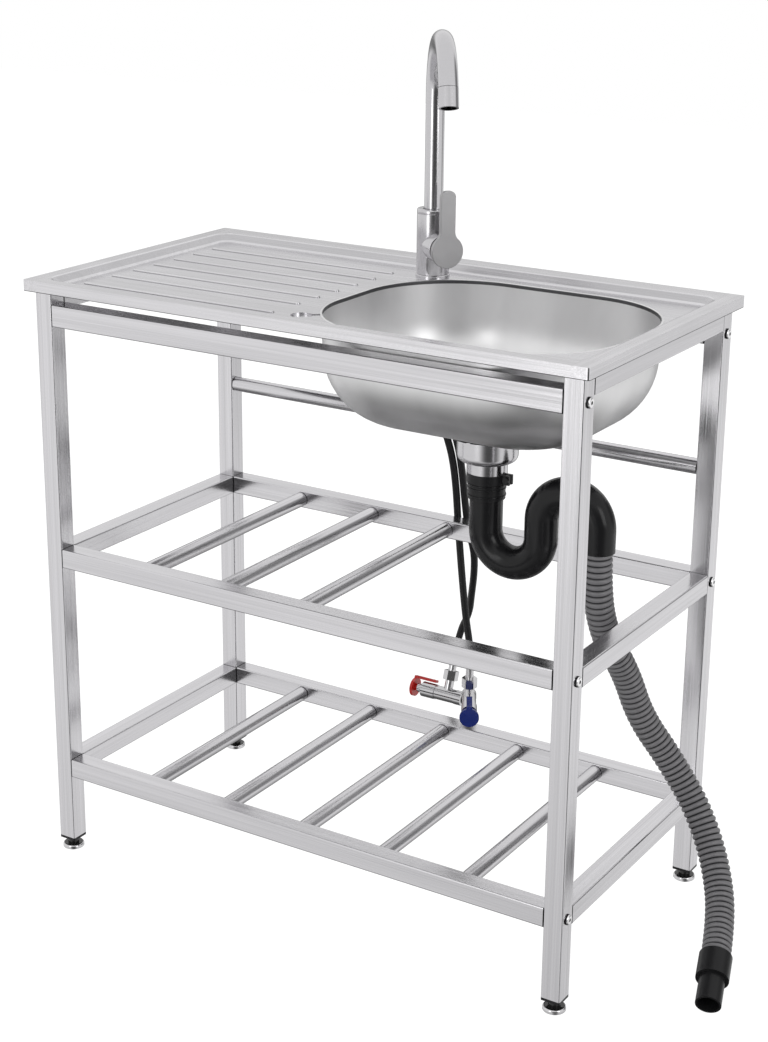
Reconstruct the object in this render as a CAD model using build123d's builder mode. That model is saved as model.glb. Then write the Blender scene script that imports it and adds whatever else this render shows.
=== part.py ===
from build123d import *

import os
from math import atan2, ceil, cos, degrees, hypot, pi, radians, sin, tan

os.makedirs("parts", exist_ok=True)

# A free-standing stainless sink unit: a pressed worktop with a drainboard and a bowl,
# on a square-tube stand with a part shelf and a full shelf, with its mixer tap, drain
# trap, ribbed drain hose and two supply hoses. Millimetres, +X right, +Y to the back,
# +Z up, origin on the floor under the middle of the worktop.

# ---- Worktop ----
unit_width = 780.0
unit_depth = 420.0
unit_height = 785.0
sheet = 1.2
skirt_height = 14.0
worktop_corner = 3.0
rim_side = 20.0
rim_front = 17.0
rim_back = 30.0
recess_depth = 10.0
recess_slope = 45.0
recess_corner = 22.0
recess_edge_round = 3.0
recess_foot_round = 5.0

rib_count = 7
rib_bowl_gap = 26.5
rib_width = 7.0
rib_height = 1.8
rib_crest_share = 0.75
rib_pitch = 42.5
rib_front_gap = 54.5
rib_left = -343.0
rib_back = 119.0

dimple_beside_bowl = 8.5
dimple_y = -141.0
dimple_diameter = 27.0
dimple_depth = 2.5
channel_width = 8.0
channel_depth = 1.2

# ---- Bowl ----
bowl_side_land = 6.5
bowl_y = -12.0
bowl_width = 381.0
bowl_length = 321.0
bowl_corner = 125.0
bowl_depth = 131.0
bowl_draft = 2.0
bowl_bottom_round = 86.0
bowl_sheet = 1.0
seat_diameter = 118.0
seat_depth = 4.0
drain_offset_x = -0.5
drain_offset_y = 1.0

# ---- Stand ----
frame_width = 760.0
frame_depth = 398.0
tube_size = 25.0
tube_wall = 1.0
tube_corner = 1.8
top_rail_height = 28.0
shelf_rail_height = 25.0
front_rail_drop = 30.0
mid_shelf_top = 433.0
low_shelf_top = 135.0
leg_clearance = 18.0
shelf_bar_diameter = 20.0
shelf_bar_wall = 1.0
low_bar_count = 5
mid_bar_count = 3
towel_bar_height = 569.0
fit_gap = 0.2
running_gap = 0.3

bolt_shank = 6.0
bolt_head = 13.0
bolt_head_height = 3.2
bolt_crown_share = 0.7
bolt_socket = 4.0
bolt_socket_depth = 1.8
insert_length = 18.0
insert_bite = 14.0

cap_flange = 3.5
cap_plug = 14.0
foot_diameter = 28.0
foot_height = 5.5
foot_round = 2.7
foot_neck_diameter = 15.0
foot_stud = 8.0
foot_stud_length = 34.0

# ---- Strainer ----
strainer_flange = 112.0
strainer_flange_thickness = 1.5
strainer_thread = 84.0
strainer_wall = 1.6
strainer_thread_length = 18.0
cup_diameter = 75.0
cup_depth = 49.0
cup_round = 9.0
tail_ring = 50.0
tail_ring_height = 14.0
tail_diameter = 41.0
tail_length = 34.0
gasket_thickness = 2.5
gasket_diameter = 102.0
lock_nut_diameter = 98.0
lock_nut_height = 9.0
lock_nut_notches = 8
lock_nut_notch_radius = 3.0
basket_diameter = 66.0
basket_depth = 20.0
basket_round = 8.0
basket_sheet = 1.0
basket_holes = 12
basket_hole = 4.0
basket_hole_ring = 18.0
knob_diameter = 16.0
knob_stem = 6.0
knob_height = 12.0
knob_thickness = 4.0

# ---- Trap ----
trap_pipe = 41.0
trap_bore = 34.0
trap_leg_spacing = 76.0
trap_low_bend_drop = 52.0
trap_high_bend_drop = 27.0
trap_outlet_drop = 53.0
collar_overlap = 13.0
collar_slit = 3.0
clamp_ear_reach = 33.0
clamp_ear_thickness = 4.0
clamp_screw = 4.0
clamp_screw_head = 8.0
collar_diameter = 46.0
collar_band_diameter = 50.0
collar_band_height = 12.0
collar_slit_bite = 2.0

# ---- Drain hose ----
hose_diameter = 36.0
hose_valley = 32.4
hose_bore = 29.2
hose_rib_pitch = 7.6
rib_valley_start = 0.15
rib_valley_end = 0.35
rib_crest_start = 0.55
rib_crest_end = 0.95
hose_spans = 3
hose_socket_depth = 16.0
hose_cuff = 16.0
connector_grip = 14.0
connector_collar = 40.0
connector_collar_length = 34.0
connector_spigot = 31.0
connector_spigot_length = 36.0
connector_bore = 26.0

# ---- Tap ----
tap_beside_bowl = 21.5
tap_y = 137.0
tap_body_diameter = 42.0
tap_body_height = 87.0
tap_body_round = 2.0
base_ring_diameter = 44.0
base_ring_height = 3.5
base_ring_round = 1.2
tap_hole = 35.0
shank_diameter = 28.0
shank_length = 40.0
inlet_hole = 6.0
inlet_depth = 60.0
washer_diameter = 41.0
washer_thickness = 3.0
mounting_nut_height = 10.0
mounting_nut_width = 35.0
spout_direction = 36.5
spout_tube = 24.0
spout_wall = 1.5
spout_socket_depth = 28.0
spout_riser = 142.0
spout_bend_radius = 74.0
spout_bend_angle = 160.0
aerator_diameter = 24.4
aerator_length = 24.5
aerator_bore = 19.0
aerator_screen_depth = 3.0
screen_hole = 2.0
screen_outer_ring = 6.3
screen_outer_holes = 10
screen_inner_ring = 2.7
screen_inner_holes = 5

lever_direction = 52.0
housing_diameter = 38.0
housing_reach = 36.0
cartridge_diameter = 30.0
cartridge_start = 8.0
cartridge_length = 15.0
turret_diameter = 24.0
turret_end = 40.5
turret_slot = 7.6
turret_slot_start = 26.0
turret_slot_top = 4.0
turret_slot_bottom = 8.0
pivot_reach = 30.0
ring_thread_length = 6.0
ring_lip = 2.5
ring_lip_diameter = 34.0
lever_rod = 7.0
lever_pin = 3.0
lever_disc = 42.0
lever_disc_reach = 44.5
lever_thickness = 6.5
lever_tab_width = 20.0
lever_tab_height = 76.5
lever_tab_corner = 8.0
lever_shoulder = 13.0
lever_edge_round = 1.0
lever_drop = 47.0

# ---- Supply hoses and stop valves ----
supply_hose = 10.0
supply_bore = 6.0
supply_spacing = 12.4
ferrule_diameter = 11.0
ferrule_length = 18.0
valve_body = 20.0
valve_grip = 22.0
valve_grip_length = 22.0
valve_grip_start = 18.0
valve_neck = 13.0
valve_neck_end = 48.0
valve_front = 56.0
valve_rear = 14.0
valve_stem = 6.0
valve_stem_fit = 0.1
valve_stem_depth = 7.0
valve_hub = 10.0
inlet_thread = 20.9
inlet_length = 12.0
inlet_bore = 14.0
branch_diameter = 13.0
branch_length = 24.0
valve_nut_width = 19.0
valve_nut_height = 14.0
valve_nut_start = 22.0
valve_disc = 27.0
valve_disc_thickness = 4.0
valve_arm_width = 8.0
valve_arm_thickness = 3.5
valve_arm_length = 36.0
valve_arm_inner = 13.0
cold_valve_turn = 30.0

# ---- Routes of the hoses, chosen by eye: from the fitting at the top to the one below ----
drain_route = [(314.5, -11, 524), (314.5, -11, 458), (319, 10.5, 391.5), (333, 43, 340),
               (347.5, 61.5, 275), (382.5, 82.5, 216.5), (424.5, 81.5, 159.5),
               (462, 56.5, 105), (492, 9, 62), (510.2, -52.4, 35.9)]
hot_route = [(0.2, 137, 717), (0.2, 137, 660), (11, 148, 600), (20, 166, 549), (15, 189, 500),
             (10, 207, 450), (13, 212, 412), (19, 220, 378), (10, 237, 340), (-3, 254, 300),
             (-21.6, 282.4, 258), (-44.6, 295.9, 221.6), (-44.6, 282.3, 184)]
cold_route = [(-12.2, 137, 717), (-12.2, 137, 660), (-2, 147, 600), (7.5, 163, 549),
              (7, 178, 515), (2.5, 195, 472), (-1.2, 207, 430), (0.8, 211, 385),
              (5, 213, 335), (12, 213, 280), (20, 213, 240), (20, 213, 212)]

# ---- Worked out ----
deck_z = unit_height - recess_depth
deck_under = deck_z - sheet
leg_x = frame_width / 2 - tube_size / 2
leg_y = frame_depth / 2 - tube_size / 2
inner_x = frame_width / 2 - tube_size
inner_y = frame_depth / 2 - tube_size
leg_top = deck_under
front_rail_top = unit_height - front_rail_drop
bowl_floor = deck_z - bowl_depth
seat_z = bowl_floor - seat_depth
recess_width = unit_width - 2 * rim_side
recess_length = unit_depth - rim_front - rim_back
recess_y = (rim_front - rim_back) / 2
bowl_right = unit_width / 2 - rim_side - recess_depth * tan(radians(recess_slope)) - bowl_side_land
bowl_x = bowl_right - bowl_width / 2
bowl_left = bowl_right - bowl_width
drain_x = bowl_x + drain_offset_x
drain_y = bowl_y + drain_offset_y
tap_x = bowl_left + tap_beside_bowl
dimple_x = bowl_left + dimple_beside_bowl
rib_length = bowl_left - rib_bowl_gap - rib_left


def save(part, name):
    part.label = name
    export_step(part, f"parts/{name}.step")


def upright(x, y):
    """Vertical section plane through (x, y): local x is radius, local y is height."""
    return Plane(origin=(x, y, 0), x_dir=(1, 0, 0), z_dir=(0, -1, 0))


def turned(x, y, outline):
    """Solid of revolution about the vertical line through (x, y), from (radius, z) points."""
    with BuildPart() as solid:
        with BuildSketch(upright(x, y)):
            with BuildLine():
                Polyline(*outline, close=True)
            make_face()
        revolve(axis=Axis((x, y, 0), (0, 0, 1)))
    return solid.part


def square_tube(plane, across, up, length):
    """Hollow square tube with rounded corners, along the plane's normal."""
    with BuildPart() as tube:
        with BuildSketch(plane):
            RectangleRounded(across, up, tube_corner)
            RectangleRounded(across - 2 * tube_wall, up - 2 * tube_wall,
                             tube_corner - tube_wall, mode=Mode.SUBTRACT)
        extrude(amount=length)
    return tube.part


def round_tube(plane, diameter, wall, length):
    with BuildPart() as tube:
        with BuildSketch(plane):
            Circle(diameter / 2)
            Circle(diameter / 2 - wall, mode=Mode.SUBTRACT)
        extrude(amount=length)
    return tube.part


def ring_bar(plane, outer, inner, length):
    """Plain ring or sleeve along the plane's normal; inner may be 0 for a rod."""
    with BuildPart() as sleeve:
        with BuildSketch(plane):
            Circle(outer / 2)
            if inner > 0:
                Circle(inner / 2, mode=Mode.SUBTRACT)
        extrude(amount=length)
    return sleeve.part


# ======================= Worktop and bowl =======================

with BuildPart() as worktop:
    # rim and skirt as a shallow upturned tray
    with BuildSketch(Plane.XY.offset(unit_height)):
        RectangleRounded(unit_width, unit_depth, worktop_corner)
    extrude(amount=-skirt_height)
    with BuildSketch(Plane.XY.offset(unit_height - sheet)):
        RectangleRounded(unit_width - 2 * sheet, unit_depth - 2 * sheet, worktop_corner - sheet)
    extrude(amount=-skirt_height, mode=Mode.SUBTRACT)
    # pressed recess: the outside of the tray first, then the hollow above it
    with BuildSketch(Plane.XY.offset(unit_height)):
        with Locations((0, recess_y)):
            RectangleRounded(recess_width + 2 * sheet, recess_length + 2 * sheet,
                             recess_corner + sheet)
    extrude(amount=-recess_depth - sheet, taper=recess_slope)
    with BuildSketch(Plane.XY.offset(unit_height)):
        with Locations((0, recess_y)):
            RectangleRounded(recess_width, recess_length, recess_corner)
    extrude(amount=-recess_depth, taper=recess_slope, mode=Mode.SUBTRACT)
    deck_edges = worktop.edges().filter_by_position(Axis.Z, deck_z - 0.01, deck_z + 0.01)
    fillet(deck_edges, recess_foot_round)
    rim_edges = worktop.edges().filter_by_position(
        Axis.Z, unit_height - 0.01, unit_height + 0.01)
    inner_rim = [e for e in rim_edges if abs(e.center().X) < recess_width / 2 + 0.1
                 and abs(e.center().Y - recess_y) < recess_length / 2 + 0.1]
    fillet(inner_rim, recess_edge_round)
    # drainboard ribs, hollow from below as pressed sheet is
    rib_rows = [rib_back - k * rib_pitch for k in range(rib_count - 1)]
    rib_rows.append(rib_rows[-1] - rib_front_gap)
    rib_spots = [(rib_left + rib_length / 2, y) for y in rib_rows]
    with BuildSketch(Plane.XY.offset(deck_z)):
        with Locations(*rib_spots):
            SlotOverall(rib_length, rib_width)
    extrude(amount=rib_height)
    crest = worktop.edges().filter_by_position(
        Axis.Z, deck_z + rib_height - 0.01, deck_z + rib_height + 0.01)
    fillet(crest, rib_height * rib_crest_share)
    with BuildSketch(Plane.XY.offset(deck_under)):
        with Locations(*rib_spots):
            SlotOverall(rib_length - 2 * sheet, rib_width - 2 * sheet)
    extrude(amount=rib_height, mode=Mode.SUBTRACT)
    # round dimple and the shallow channel that lets it run into the bowl
    toward_x = bowl_x - bowl_width / 2 + bowl_corner - dimple_x
    toward_y = bowl_y - bowl_length / 2 + bowl_corner - dimple_y
    channel_run = hypot(toward_x, toward_y) - bowl_corner
    channel_spot = Location((dimple_x, dimple_y, 0), (0, 0, degrees(atan2(toward_y, toward_x))))
    with BuildSketch(Plane.XY.offset(deck_under)):
        with Locations(channel_spot):
            with Locations((channel_run / 2, 0)):
                Rectangle(channel_run, channel_width + 2 * sheet)
    extrude(amount=-channel_depth)
    with BuildSketch(Plane.XY.offset(deck_under)):
        with Locations((dimple_x, dimple_y)):
            Circle(dimple_diameter / 2 + sheet)
    extrude(amount=-dimple_depth)
    with BuildSketch(Plane.XY.offset(deck_under)):
        with Locations((bowl_x, bowl_y)):
            RectangleRounded(bowl_width + 2 * bowl_sheet, bowl_length + 2 * bowl_sheet,
                             bowl_corner + bowl_sheet)
    extrude(amount=-channel_depth, mode=Mode.SUBTRACT)
    with BuildSketch(Plane.XY.offset(deck_z)):
        with Locations((dimple_x, dimple_y)):
            Circle(dimple_diameter / 2)
    extrude(amount=-dimple_depth, mode=Mode.SUBTRACT)
    with BuildSketch(Plane.XY.offset(deck_z)):
        with Locations(channel_spot):
            with Locations((channel_run, 0)):
                Rectangle(2 * channel_run, channel_width)
    extrude(amount=-channel_depth, mode=Mode.SUBTRACT)
    # openings for the bowl and the tap
    with BuildSketch(Plane.XY.offset(unit_height)):
        with Locations((bowl_x, bowl_y)):
            RectangleRounded(bowl_width, bowl_length, bowl_corner)
        with Locations((tap_x, tap_y)):
            Circle(tap_hole / 2)
    extrude(amount=-recess_depth - 2 * sheet, mode=Mode.SUBTRACT)
save(worktop.part, "worktop")

def bowl_form(grow):
    """The bowl's drafted form with its large bottom rounding, grown outward by a wall."""
    with BuildPart() as form:
        with BuildSketch(Plane.XY.offset(deck_under)):
            with Locations((bowl_x, bowl_y)):
                RectangleRounded(bowl_width + 2 * grow, bowl_length + 2 * grow, bowl_corner + grow)
        extrude(amount=bowl_floor - grow - deck_under, taper=bowl_draft)
        fillet(form.faces().sort_by(Axis.Z)[0].edges(), bowl_bottom_round + grow)
    return form.part


with BuildPart() as bowl:
    add(bowl_form(bowl_sheet))
    # sunk seat for the strainer flange
    with BuildSketch(Plane.XY.offset(bowl_floor)):
        with Locations((drain_x, drain_y)):
            Circle(seat_diameter / 2 + bowl_sheet)
    extrude(amount=-seat_depth - bowl_sheet)
    add(bowl_form(0), mode=Mode.SUBTRACT)
    with BuildSketch(Plane.XY.offset(bowl_floor)):
        with Locations((drain_x, drain_y)):
            Circle(seat_diameter / 2)
    extrude(amount=-seat_depth, mode=Mode.SUBTRACT)
    with BuildSketch(Plane.XY.offset(seat_z)):
        with Locations((drain_x, drain_y)):
            Circle(strainer_thread / 2 + fit_gap)
    extrude(amount=-2 * bowl_sheet, mode=Mode.SUBTRACT)
save(bowl.part, "bowl")

# ======================= Stand =======================

sides = {"left": -1, "right": 1}
ends = {"front": -1, "rear": 1}
front_rail_tops = {"top": front_rail_top, "mid": mid_shelf_top, "low": low_shelf_top}
side_rail_tops = {"top": leg_top, "mid": mid_shelf_top, "low": low_shelf_top}
rail_heights = {"top": top_rail_height, "mid": shelf_rail_height, "low": shelf_rail_height}
bolt_levels = [front_rail_tops[k] - rail_heights[k] / 2 for k in ("top", "mid", "low")]

for side, sx in sides.items():
    for end, sy in ends.items():
        with BuildPart() as leg:
            foot_plane = Plane(origin=(sx * leg_x, sy * leg_y, leg_clearance))
            add(square_tube(foot_plane, tube_size, tube_size, leg_top - leg_clearance))
            # clearance holes for the frame bolts, right through in X
            for z in bolt_levels:
                across = Plane(origin=(sx * leg_x, sy * leg_y, z), z_dir=(1, 0, 0))
                with BuildSketch(across.offset(-tube_size)):
                    Circle(bolt_shank / 2 + fit_gap)
                extrude(amount=2 * tube_size, mode=Mode.SUBTRACT)
        save(leg.part, f"{end}_{side}_leg")

# side rails run front to back between the legs, welded to them
for side, sx in sides.items():
    for level, z_top in side_rail_tops.items():
        height = rail_heights[level]
        rail_plane = Plane(origin=(sx * leg_x, -inner_y, z_top - height / 2),
                           x_dir=(1, 0, 0), z_dir=(0, 1, 0))
        with BuildPart() as side_rail:
            add(square_tube(rail_plane, tube_size, height, 2 * inner_y))
        save(side_rail.part, f"{level}_{side}_side_rail")

# front and back rails run left to right and are bolted between the end frames
for end, sy in ends.items():
    for level, z_top in front_rail_tops.items():
        height = rail_heights[level]
        rail_plane = Plane(origin=(-inner_x, sy * leg_y, z_top - height / 2),
                           x_dir=(0, 1, 0), z_dir=(1, 0, 0))
        with BuildPart() as cross_rail:
            add(square_tube(rail_plane, tube_size, height, 2 * inner_x))
        save(cross_rail.part, f"{level}_{end}_rail")

# shelf bars: five evenly spaced on the low shelf, the first three of them on the mid shelf
bar_pitch = 2 * inner_x / (low_bar_count + 1)
for level, count, z_top in (("mid", mid_bar_count, mid_shelf_top),
                            ("low", low_bar_count, low_shelf_top)):
    for k in range(count):
        bar_x = -inner_x + (k + 1) * bar_pitch
        bar_plane = Plane(origin=(bar_x, -inner_y, z_top - shelf_rail_height / 2),
                          x_dir=(1, 0, 0), z_dir=(0, 1, 0))
        with BuildPart() as shelf_bar:
            add(round_tube(bar_plane, shelf_bar_diameter, shelf_bar_wall, 2 * inner_y))
        save(shelf_bar.part, f"{level}_shelf_bar_{k + 1}")

with BuildPart() as towel_bar:
    towel_y = inner_y + shelf_bar_diameter / 2
    towel_plane = Plane(origin=(-inner_x, towel_y, towel_bar_height), z_dir=(1, 0, 0))
    add(round_tube(towel_plane, shelf_bar_diameter, shelf_bar_wall, 2 * inner_x))
save(towel_bar.part, "towel_bar")

# one button-head bolt along its own axis, head outward, tip at the negative end
with BuildPart() as one_bolt:
    with BuildSketch(Plane.XY):
        Circle(bolt_shank / 2)
    extrude(amount=-tube_size - insert_bite)
    with BuildSketch(Plane.XY):
        Circle(bolt_head / 2)
    extrude(amount=bolt_head_height)
    fillet(one_bolt.edges().sort_by(Axis.Z)[-1], bolt_head_height * bolt_crown_share)
    with BuildSketch(Plane.XY.offset(bolt_head_height)):
        RegularPolygon(bolt_socket / 2, 6, major_radius=False)
    extrude(amount=-bolt_socket_depth, mode=Mode.SUBTRACT)

bolt_planes = [Plane(origin=(sx * frame_width / 2, sy * leg_y, z), z_dir=(sx, 0, 0))
               for sx in sides.values() for sy in ends.values() for z in bolt_levels]
with BuildPart() as frame_bolts:
    for plane in bolt_planes:
        add(plane.location * one_bolt.part)
save(frame_bolts.part, "frame_bolts")

# threaded plugs pressed into the ends of the front and back rails
with BuildPart() as rail_plugs:
    for sx in sides.values():
        for sy in ends.values():
            for level, z in zip(("top", "mid", "low"), bolt_levels):
                up = rail_heights[level] - 2 * tube_wall - fit_gap
                across = tube_size - 2 * tube_wall - fit_gap
                plug_plane = Plane(origin=(sx * inner_x, sy * leg_y, z), x_dir=(0, 1, 0),
                                   z_dir=(-sx, 0, 0))
                with BuildSketch(plug_plane):
                    RectangleRounded(across, up, tube_corner - tube_wall)
                    Circle(bolt_shank / 2 + fit_gap / 4, mode=Mode.SUBTRACT)
                extrude(amount=insert_length)
save(rail_plugs.part, "rail_end_plugs")

with BuildPart() as leg_end_caps:
    plug_side = tube_size - 2 * tube_wall - fit_gap
    for sx in sides.values():
        for sy in ends.values():
            with BuildSketch(Plane(origin=(sx * leg_x, sy * leg_y, leg_clearance))):
                RectangleRounded(tube_size, tube_size, tube_corner)
            extrude(amount=-cap_flange)
            with BuildSketch(Plane(origin=(sx * leg_x, sy * leg_y, leg_clearance))):
                RectangleRounded(plug_side, plug_side, tube_corner - tube_wall)
            extrude(amount=cap_plug)
    for sx in sides.values():
        for sy in ends.values():
            with BuildSketch(Plane(origin=(sx * leg_x, sy * leg_y, 0))):
                Circle(foot_stud / 2 + running_gap)
            extrude(amount=leg_clearance + cap_plug, mode=Mode.SUBTRACT)
save(leg_end_caps.part, "leg_end_caps")

neck_top = leg_clearance - cap_flange
for side, sx in sides.items():
    for end, sy in ends.items():
        with BuildPart() as foot:
            with BuildSketch(Plane(origin=(sx * leg_x, sy * leg_y, 0))):
                Circle(foot_diameter / 2)
            extrude(amount=foot_height)
            fillet(foot.edges().sort_by(Axis.Z)[-1], foot_round)
            with BuildSketch(Plane(origin=(sx * leg_x, sy * leg_y, foot_height))):
                Circle(foot_neck_diameter / 2)
            extrude(amount=neck_top - foot_height)
            with BuildSketch(Plane(origin=(sx * leg_x, sy * leg_y, neck_top))):
                Circle(foot_stud / 2)
            extrude(amount=foot_stud_length)
        save(foot.part, f"{end}_{side}_levelling_foot")

# ======================= Strainer =======================

bowl_under = seat_z - bowl_sheet
thread_end = bowl_floor - strainer_thread_length
cup_end = bowl_floor - cup_depth
tail_ring_end = cup_end - tail_ring_height
tail_end = cup_end - tail_length
ledge_z = thread_end + strainer_wall
thread_bore = strainer_thread / 2 - strainer_wall
cup_bore = cup_diameter / 2 - strainer_wall
tail_bore = tail_diameter / 2 - strainer_wall

with BuildPart() as strainer_body:
    add(turned(drain_x, drain_y, [
        (tail_bore, tail_end), (tail_diameter / 2, tail_end),
        (tail_diameter / 2, tail_ring_end), (tail_ring / 2, tail_ring_end),
        (tail_ring / 2, cup_end), (cup_diameter / 2, cup_end), (cup_diameter / 2, thread_end),
        (strainer_thread / 2, thread_end), (strainer_thread / 2, seat_z),
        (strainer_flange / 2, seat_z), (strainer_flange / 2, seat_z + strainer_flange_thickness),
        (thread_bore, seat_z + strainer_flange_thickness), (thread_bore, ledge_z),
        (cup_bore, ledge_z), (cup_bore, cup_end + strainer_wall),
        (tail_bore, cup_end + strainer_wall)]))
    cup_rims = strainer_body.edges().filter_by(GeomType.CIRCLE)
    fillet(cup_rims.filter_by(lambda e: abs(e.radius - cup_diameter / 2) < 0.01)
           .filter_by(lambda e: abs(e.center().Z - cup_end) < 0.01), cup_round)
    fillet(cup_rims.filter_by(lambda e: abs(e.radius - cup_bore) < 0.01)
           .filter_by(lambda e: abs(e.center().Z - cup_end - strainer_wall) < 0.01),
           cup_round - strainer_wall)
    # cross bars over the outlet
    with BuildSketch(Plane.XY.offset(cup_end)):
        with Locations((drain_x, drain_y)):
            Rectangle(2 * tail_bore + strainer_wall, 2 * strainer_wall)
            Rectangle(2 * strainer_wall, 2 * tail_bore + strainer_wall)
    extrude(amount=strainer_wall)
save(strainer_body.part, "strainer_body")

with BuildPart() as strainer_gasket:
    add(ring_bar(Plane(origin=(drain_x, drain_y, bowl_under - gasket_thickness)), gasket_diameter,
                 strainer_thread + 2 * fit_gap, gasket_thickness))
save(strainer_gasket.part, "strainer_gasket")

nut_top = bowl_under - gasket_thickness
with BuildPart() as strainer_lock_nut:
    nut_plane = Plane(origin=(drain_x, drain_y, nut_top - lock_nut_height))
    add(ring_bar(nut_plane, lock_nut_diameter, strainer_thread + 2 * fit_gap, lock_nut_height))
    with BuildSketch(nut_plane):
        with PolarLocations(lock_nut_diameter / 2, lock_nut_notches):
            Circle(lock_nut_notch_radius)
    extrude(amount=lock_nut_height, mode=Mode.SUBTRACT)
save(strainer_lock_nut.part, "strainer_lock_nut")

basket_rim = thread_bore - running_gap
basket_z = ledge_z + basket_sheet - basket_depth
with BuildPart() as strainer_basket:
    add(turned(drain_x, drain_y, [
        (0, basket_z), (basket_diameter / 2, basket_z), (basket_diameter / 2, ledge_z),
        (basket_rim, ledge_z), (basket_rim, ledge_z + basket_sheet),
        (basket_diameter / 2 - basket_sheet, ledge_z + basket_sheet),
        (basket_diameter / 2 - basket_sheet, basket_z + basket_sheet),
        (knob_stem / 2, basket_z + basket_sheet),
        (knob_stem / 2, basket_z + knob_height - knob_thickness),
        (knob_diameter / 2, basket_z + knob_height - knob_thickness),
        (knob_diameter / 2, basket_z + knob_height), (0, basket_z + knob_height)]))
    rims = strainer_basket.edges().filter_by(GeomType.CIRCLE)
    fillet(rims.filter_by(lambda e: abs(e.center().Z - basket_z) < 0.01), basket_round)
    fillet(rims.filter_by(lambda e: abs(e.center().Z - basket_z - basket_sheet) < 0.01)
           .filter_by(lambda e: e.radius > knob_diameter), basket_round - basket_sheet)
    with BuildSketch(Plane(origin=(drain_x, drain_y, basket_z))):
        with PolarLocations(basket_hole_ring, basket_holes):
            Circle(basket_hole / 2)
    extrude(amount=2 * basket_sheet, mode=Mode.SUBTRACT)
save(strainer_basket.part, "strainer_basket")

# ======================= Drain trap =======================

sleeve_end = tail_end - collar_overlap
band_start = tail_ring_end - collar_band_height
with BuildPart() as trap_collar:
    add(ring_bar(Plane(origin=(drain_x, drain_y, sleeve_end)), collar_diameter,
                 tail_diameter + 2 * fit_gap, tail_ring_end - sleeve_end))
    add(ring_bar(Plane(origin=(drain_x, drain_y, band_start)), collar_band_diameter,
                 tail_diameter + 2 * fit_gap, collar_band_height))
    # the clamp's two ears, one on each side of the slit
    ear_length = clamp_ear_reach - collar_diameter / 2
    ear_y = collar_slit / 2 + clamp_ear_thickness / 2
    with BuildSketch(Plane(origin=(drain_x + collar_diameter / 2 + ear_length / 2, drain_y,
                                   band_start))):
        with Locations((0, ear_y), (0, -ear_y)):
            Rectangle(ear_length, clamp_ear_thickness)
    extrude(amount=collar_band_height)
    with BuildSketch(Plane(origin=(drain_x + collar_diameter / 2, drain_y, band_start))):
        Rectangle(collar_band_diameter - tail_diameter + collar_slit_bite, collar_slit)
    extrude(amount=collar_band_height, mode=Mode.SUBTRACT)
    # the screw across both ears, a solid of its own
    screw_x = drain_x + clamp_ear_reach - clamp_screw_head / 2
    screw_z = band_start + collar_band_height / 2
    ear_face = drain_y - collar_slit / 2 - clamp_ear_thickness
    screw_run = collar_slit + 2 * clamp_ear_thickness
    screw_plane = Plane(origin=(screw_x, ear_face, screw_z), z_dir=(0, 1, 0))
    with BuildSketch(screw_plane):
        Circle(clamp_screw / 2 + fit_gap)
    extrude(amount=screw_run, mode=Mode.SUBTRACT)
    add(ring_bar(screw_plane.offset(-fit_gap), clamp_screw, 0, screw_run + fit_gap))
    add(ring_bar(screw_plane.offset(-clamp_screw / 2 - fit_gap), clamp_screw_head, 0,
                 clamp_screw / 2))
save(trap_collar.part, "trap_collar")

half_loop = trap_leg_spacing / 2
trap_low_bend_z = tail_end - trap_low_bend_drop
trap_high_bend_z = tail_end - trap_high_bend_drop
trap_outlet_z = tail_end - trap_outlet_drop
with BuildLine() as trap_line:
    Line((drain_x, drain_y, tail_end), (drain_x, drain_y, trap_low_bend_z))
    ThreePointArc((drain_x, drain_y, trap_low_bend_z),
                  (drain_x + half_loop, drain_y, trap_low_bend_z - half_loop),
                  (drain_x + 2 * half_loop, drain_y, trap_low_bend_z))
    Line((drain_x + 2 * half_loop, drain_y, trap_low_bend_z),
         (drain_x + 2 * half_loop, drain_y, trap_high_bend_z))
    ThreePointArc((drain_x + 2 * half_loop, drain_y, trap_high_bend_z),
                  (drain_x + 3 * half_loop, drain_y, trap_high_bend_z + half_loop),
                  (drain_x + 4 * half_loop, drain_y, trap_high_bend_z))
    Line((drain_x + 4 * half_loop, drain_y, trap_high_bend_z),
         (drain_x + 4 * half_loop, drain_y, trap_outlet_z))
with BuildPart() as drain_trap:
    with BuildSketch(Plane(origin=(drain_x, drain_y, tail_end), z_dir=(0, 0, -1))):
        Circle(trap_pipe / 2)
        Circle(trap_bore / 2, mode=Mode.SUBTRACT)
    sweep(path=trap_line.line)
    with BuildSketch(Plane(origin=(drain_x + 2 * trap_leg_spacing, drain_y, trap_outlet_z))):
        Circle(hose_diameter / 2 + fit_gap)
    extrude(amount=hose_socket_depth, mode=Mode.SUBTRACT)
save(drain_trap.part, "drain_trap")

# ======================= Drain hose =======================


def hose_path(route, name):
    """Straight runs joined by tangent arcs, each arc as large as its two runs allow."""
    spots = [Vector(*spot) for spot in route]
    radii = []
    for before, here, after in zip(spots, spots[1:], spots[2:]):
        turn = (here - before).get_angle(after - here)
        shorter = min((here - before).length, (after - here).length)
        radii.append(0.45 * shorter / tan(radians(turn / 2)))
    with BuildLine() as path:
        FilletPolyline(*spots, radius=radii)
    wire = path.wire()
    print(name, "radii", [round(r) for r in radii], "length", round(wire.length, 1))
    return wire


def last_run(route):
    """Direction of a route's last straight run."""
    return (Vector(*route[-1]) - Vector(*route[-2])).normalized()


def start_plane(route):
    return Plane(origin=route[0], z_dir=Vector(*route[1]) - Vector(*route[0]))


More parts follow.
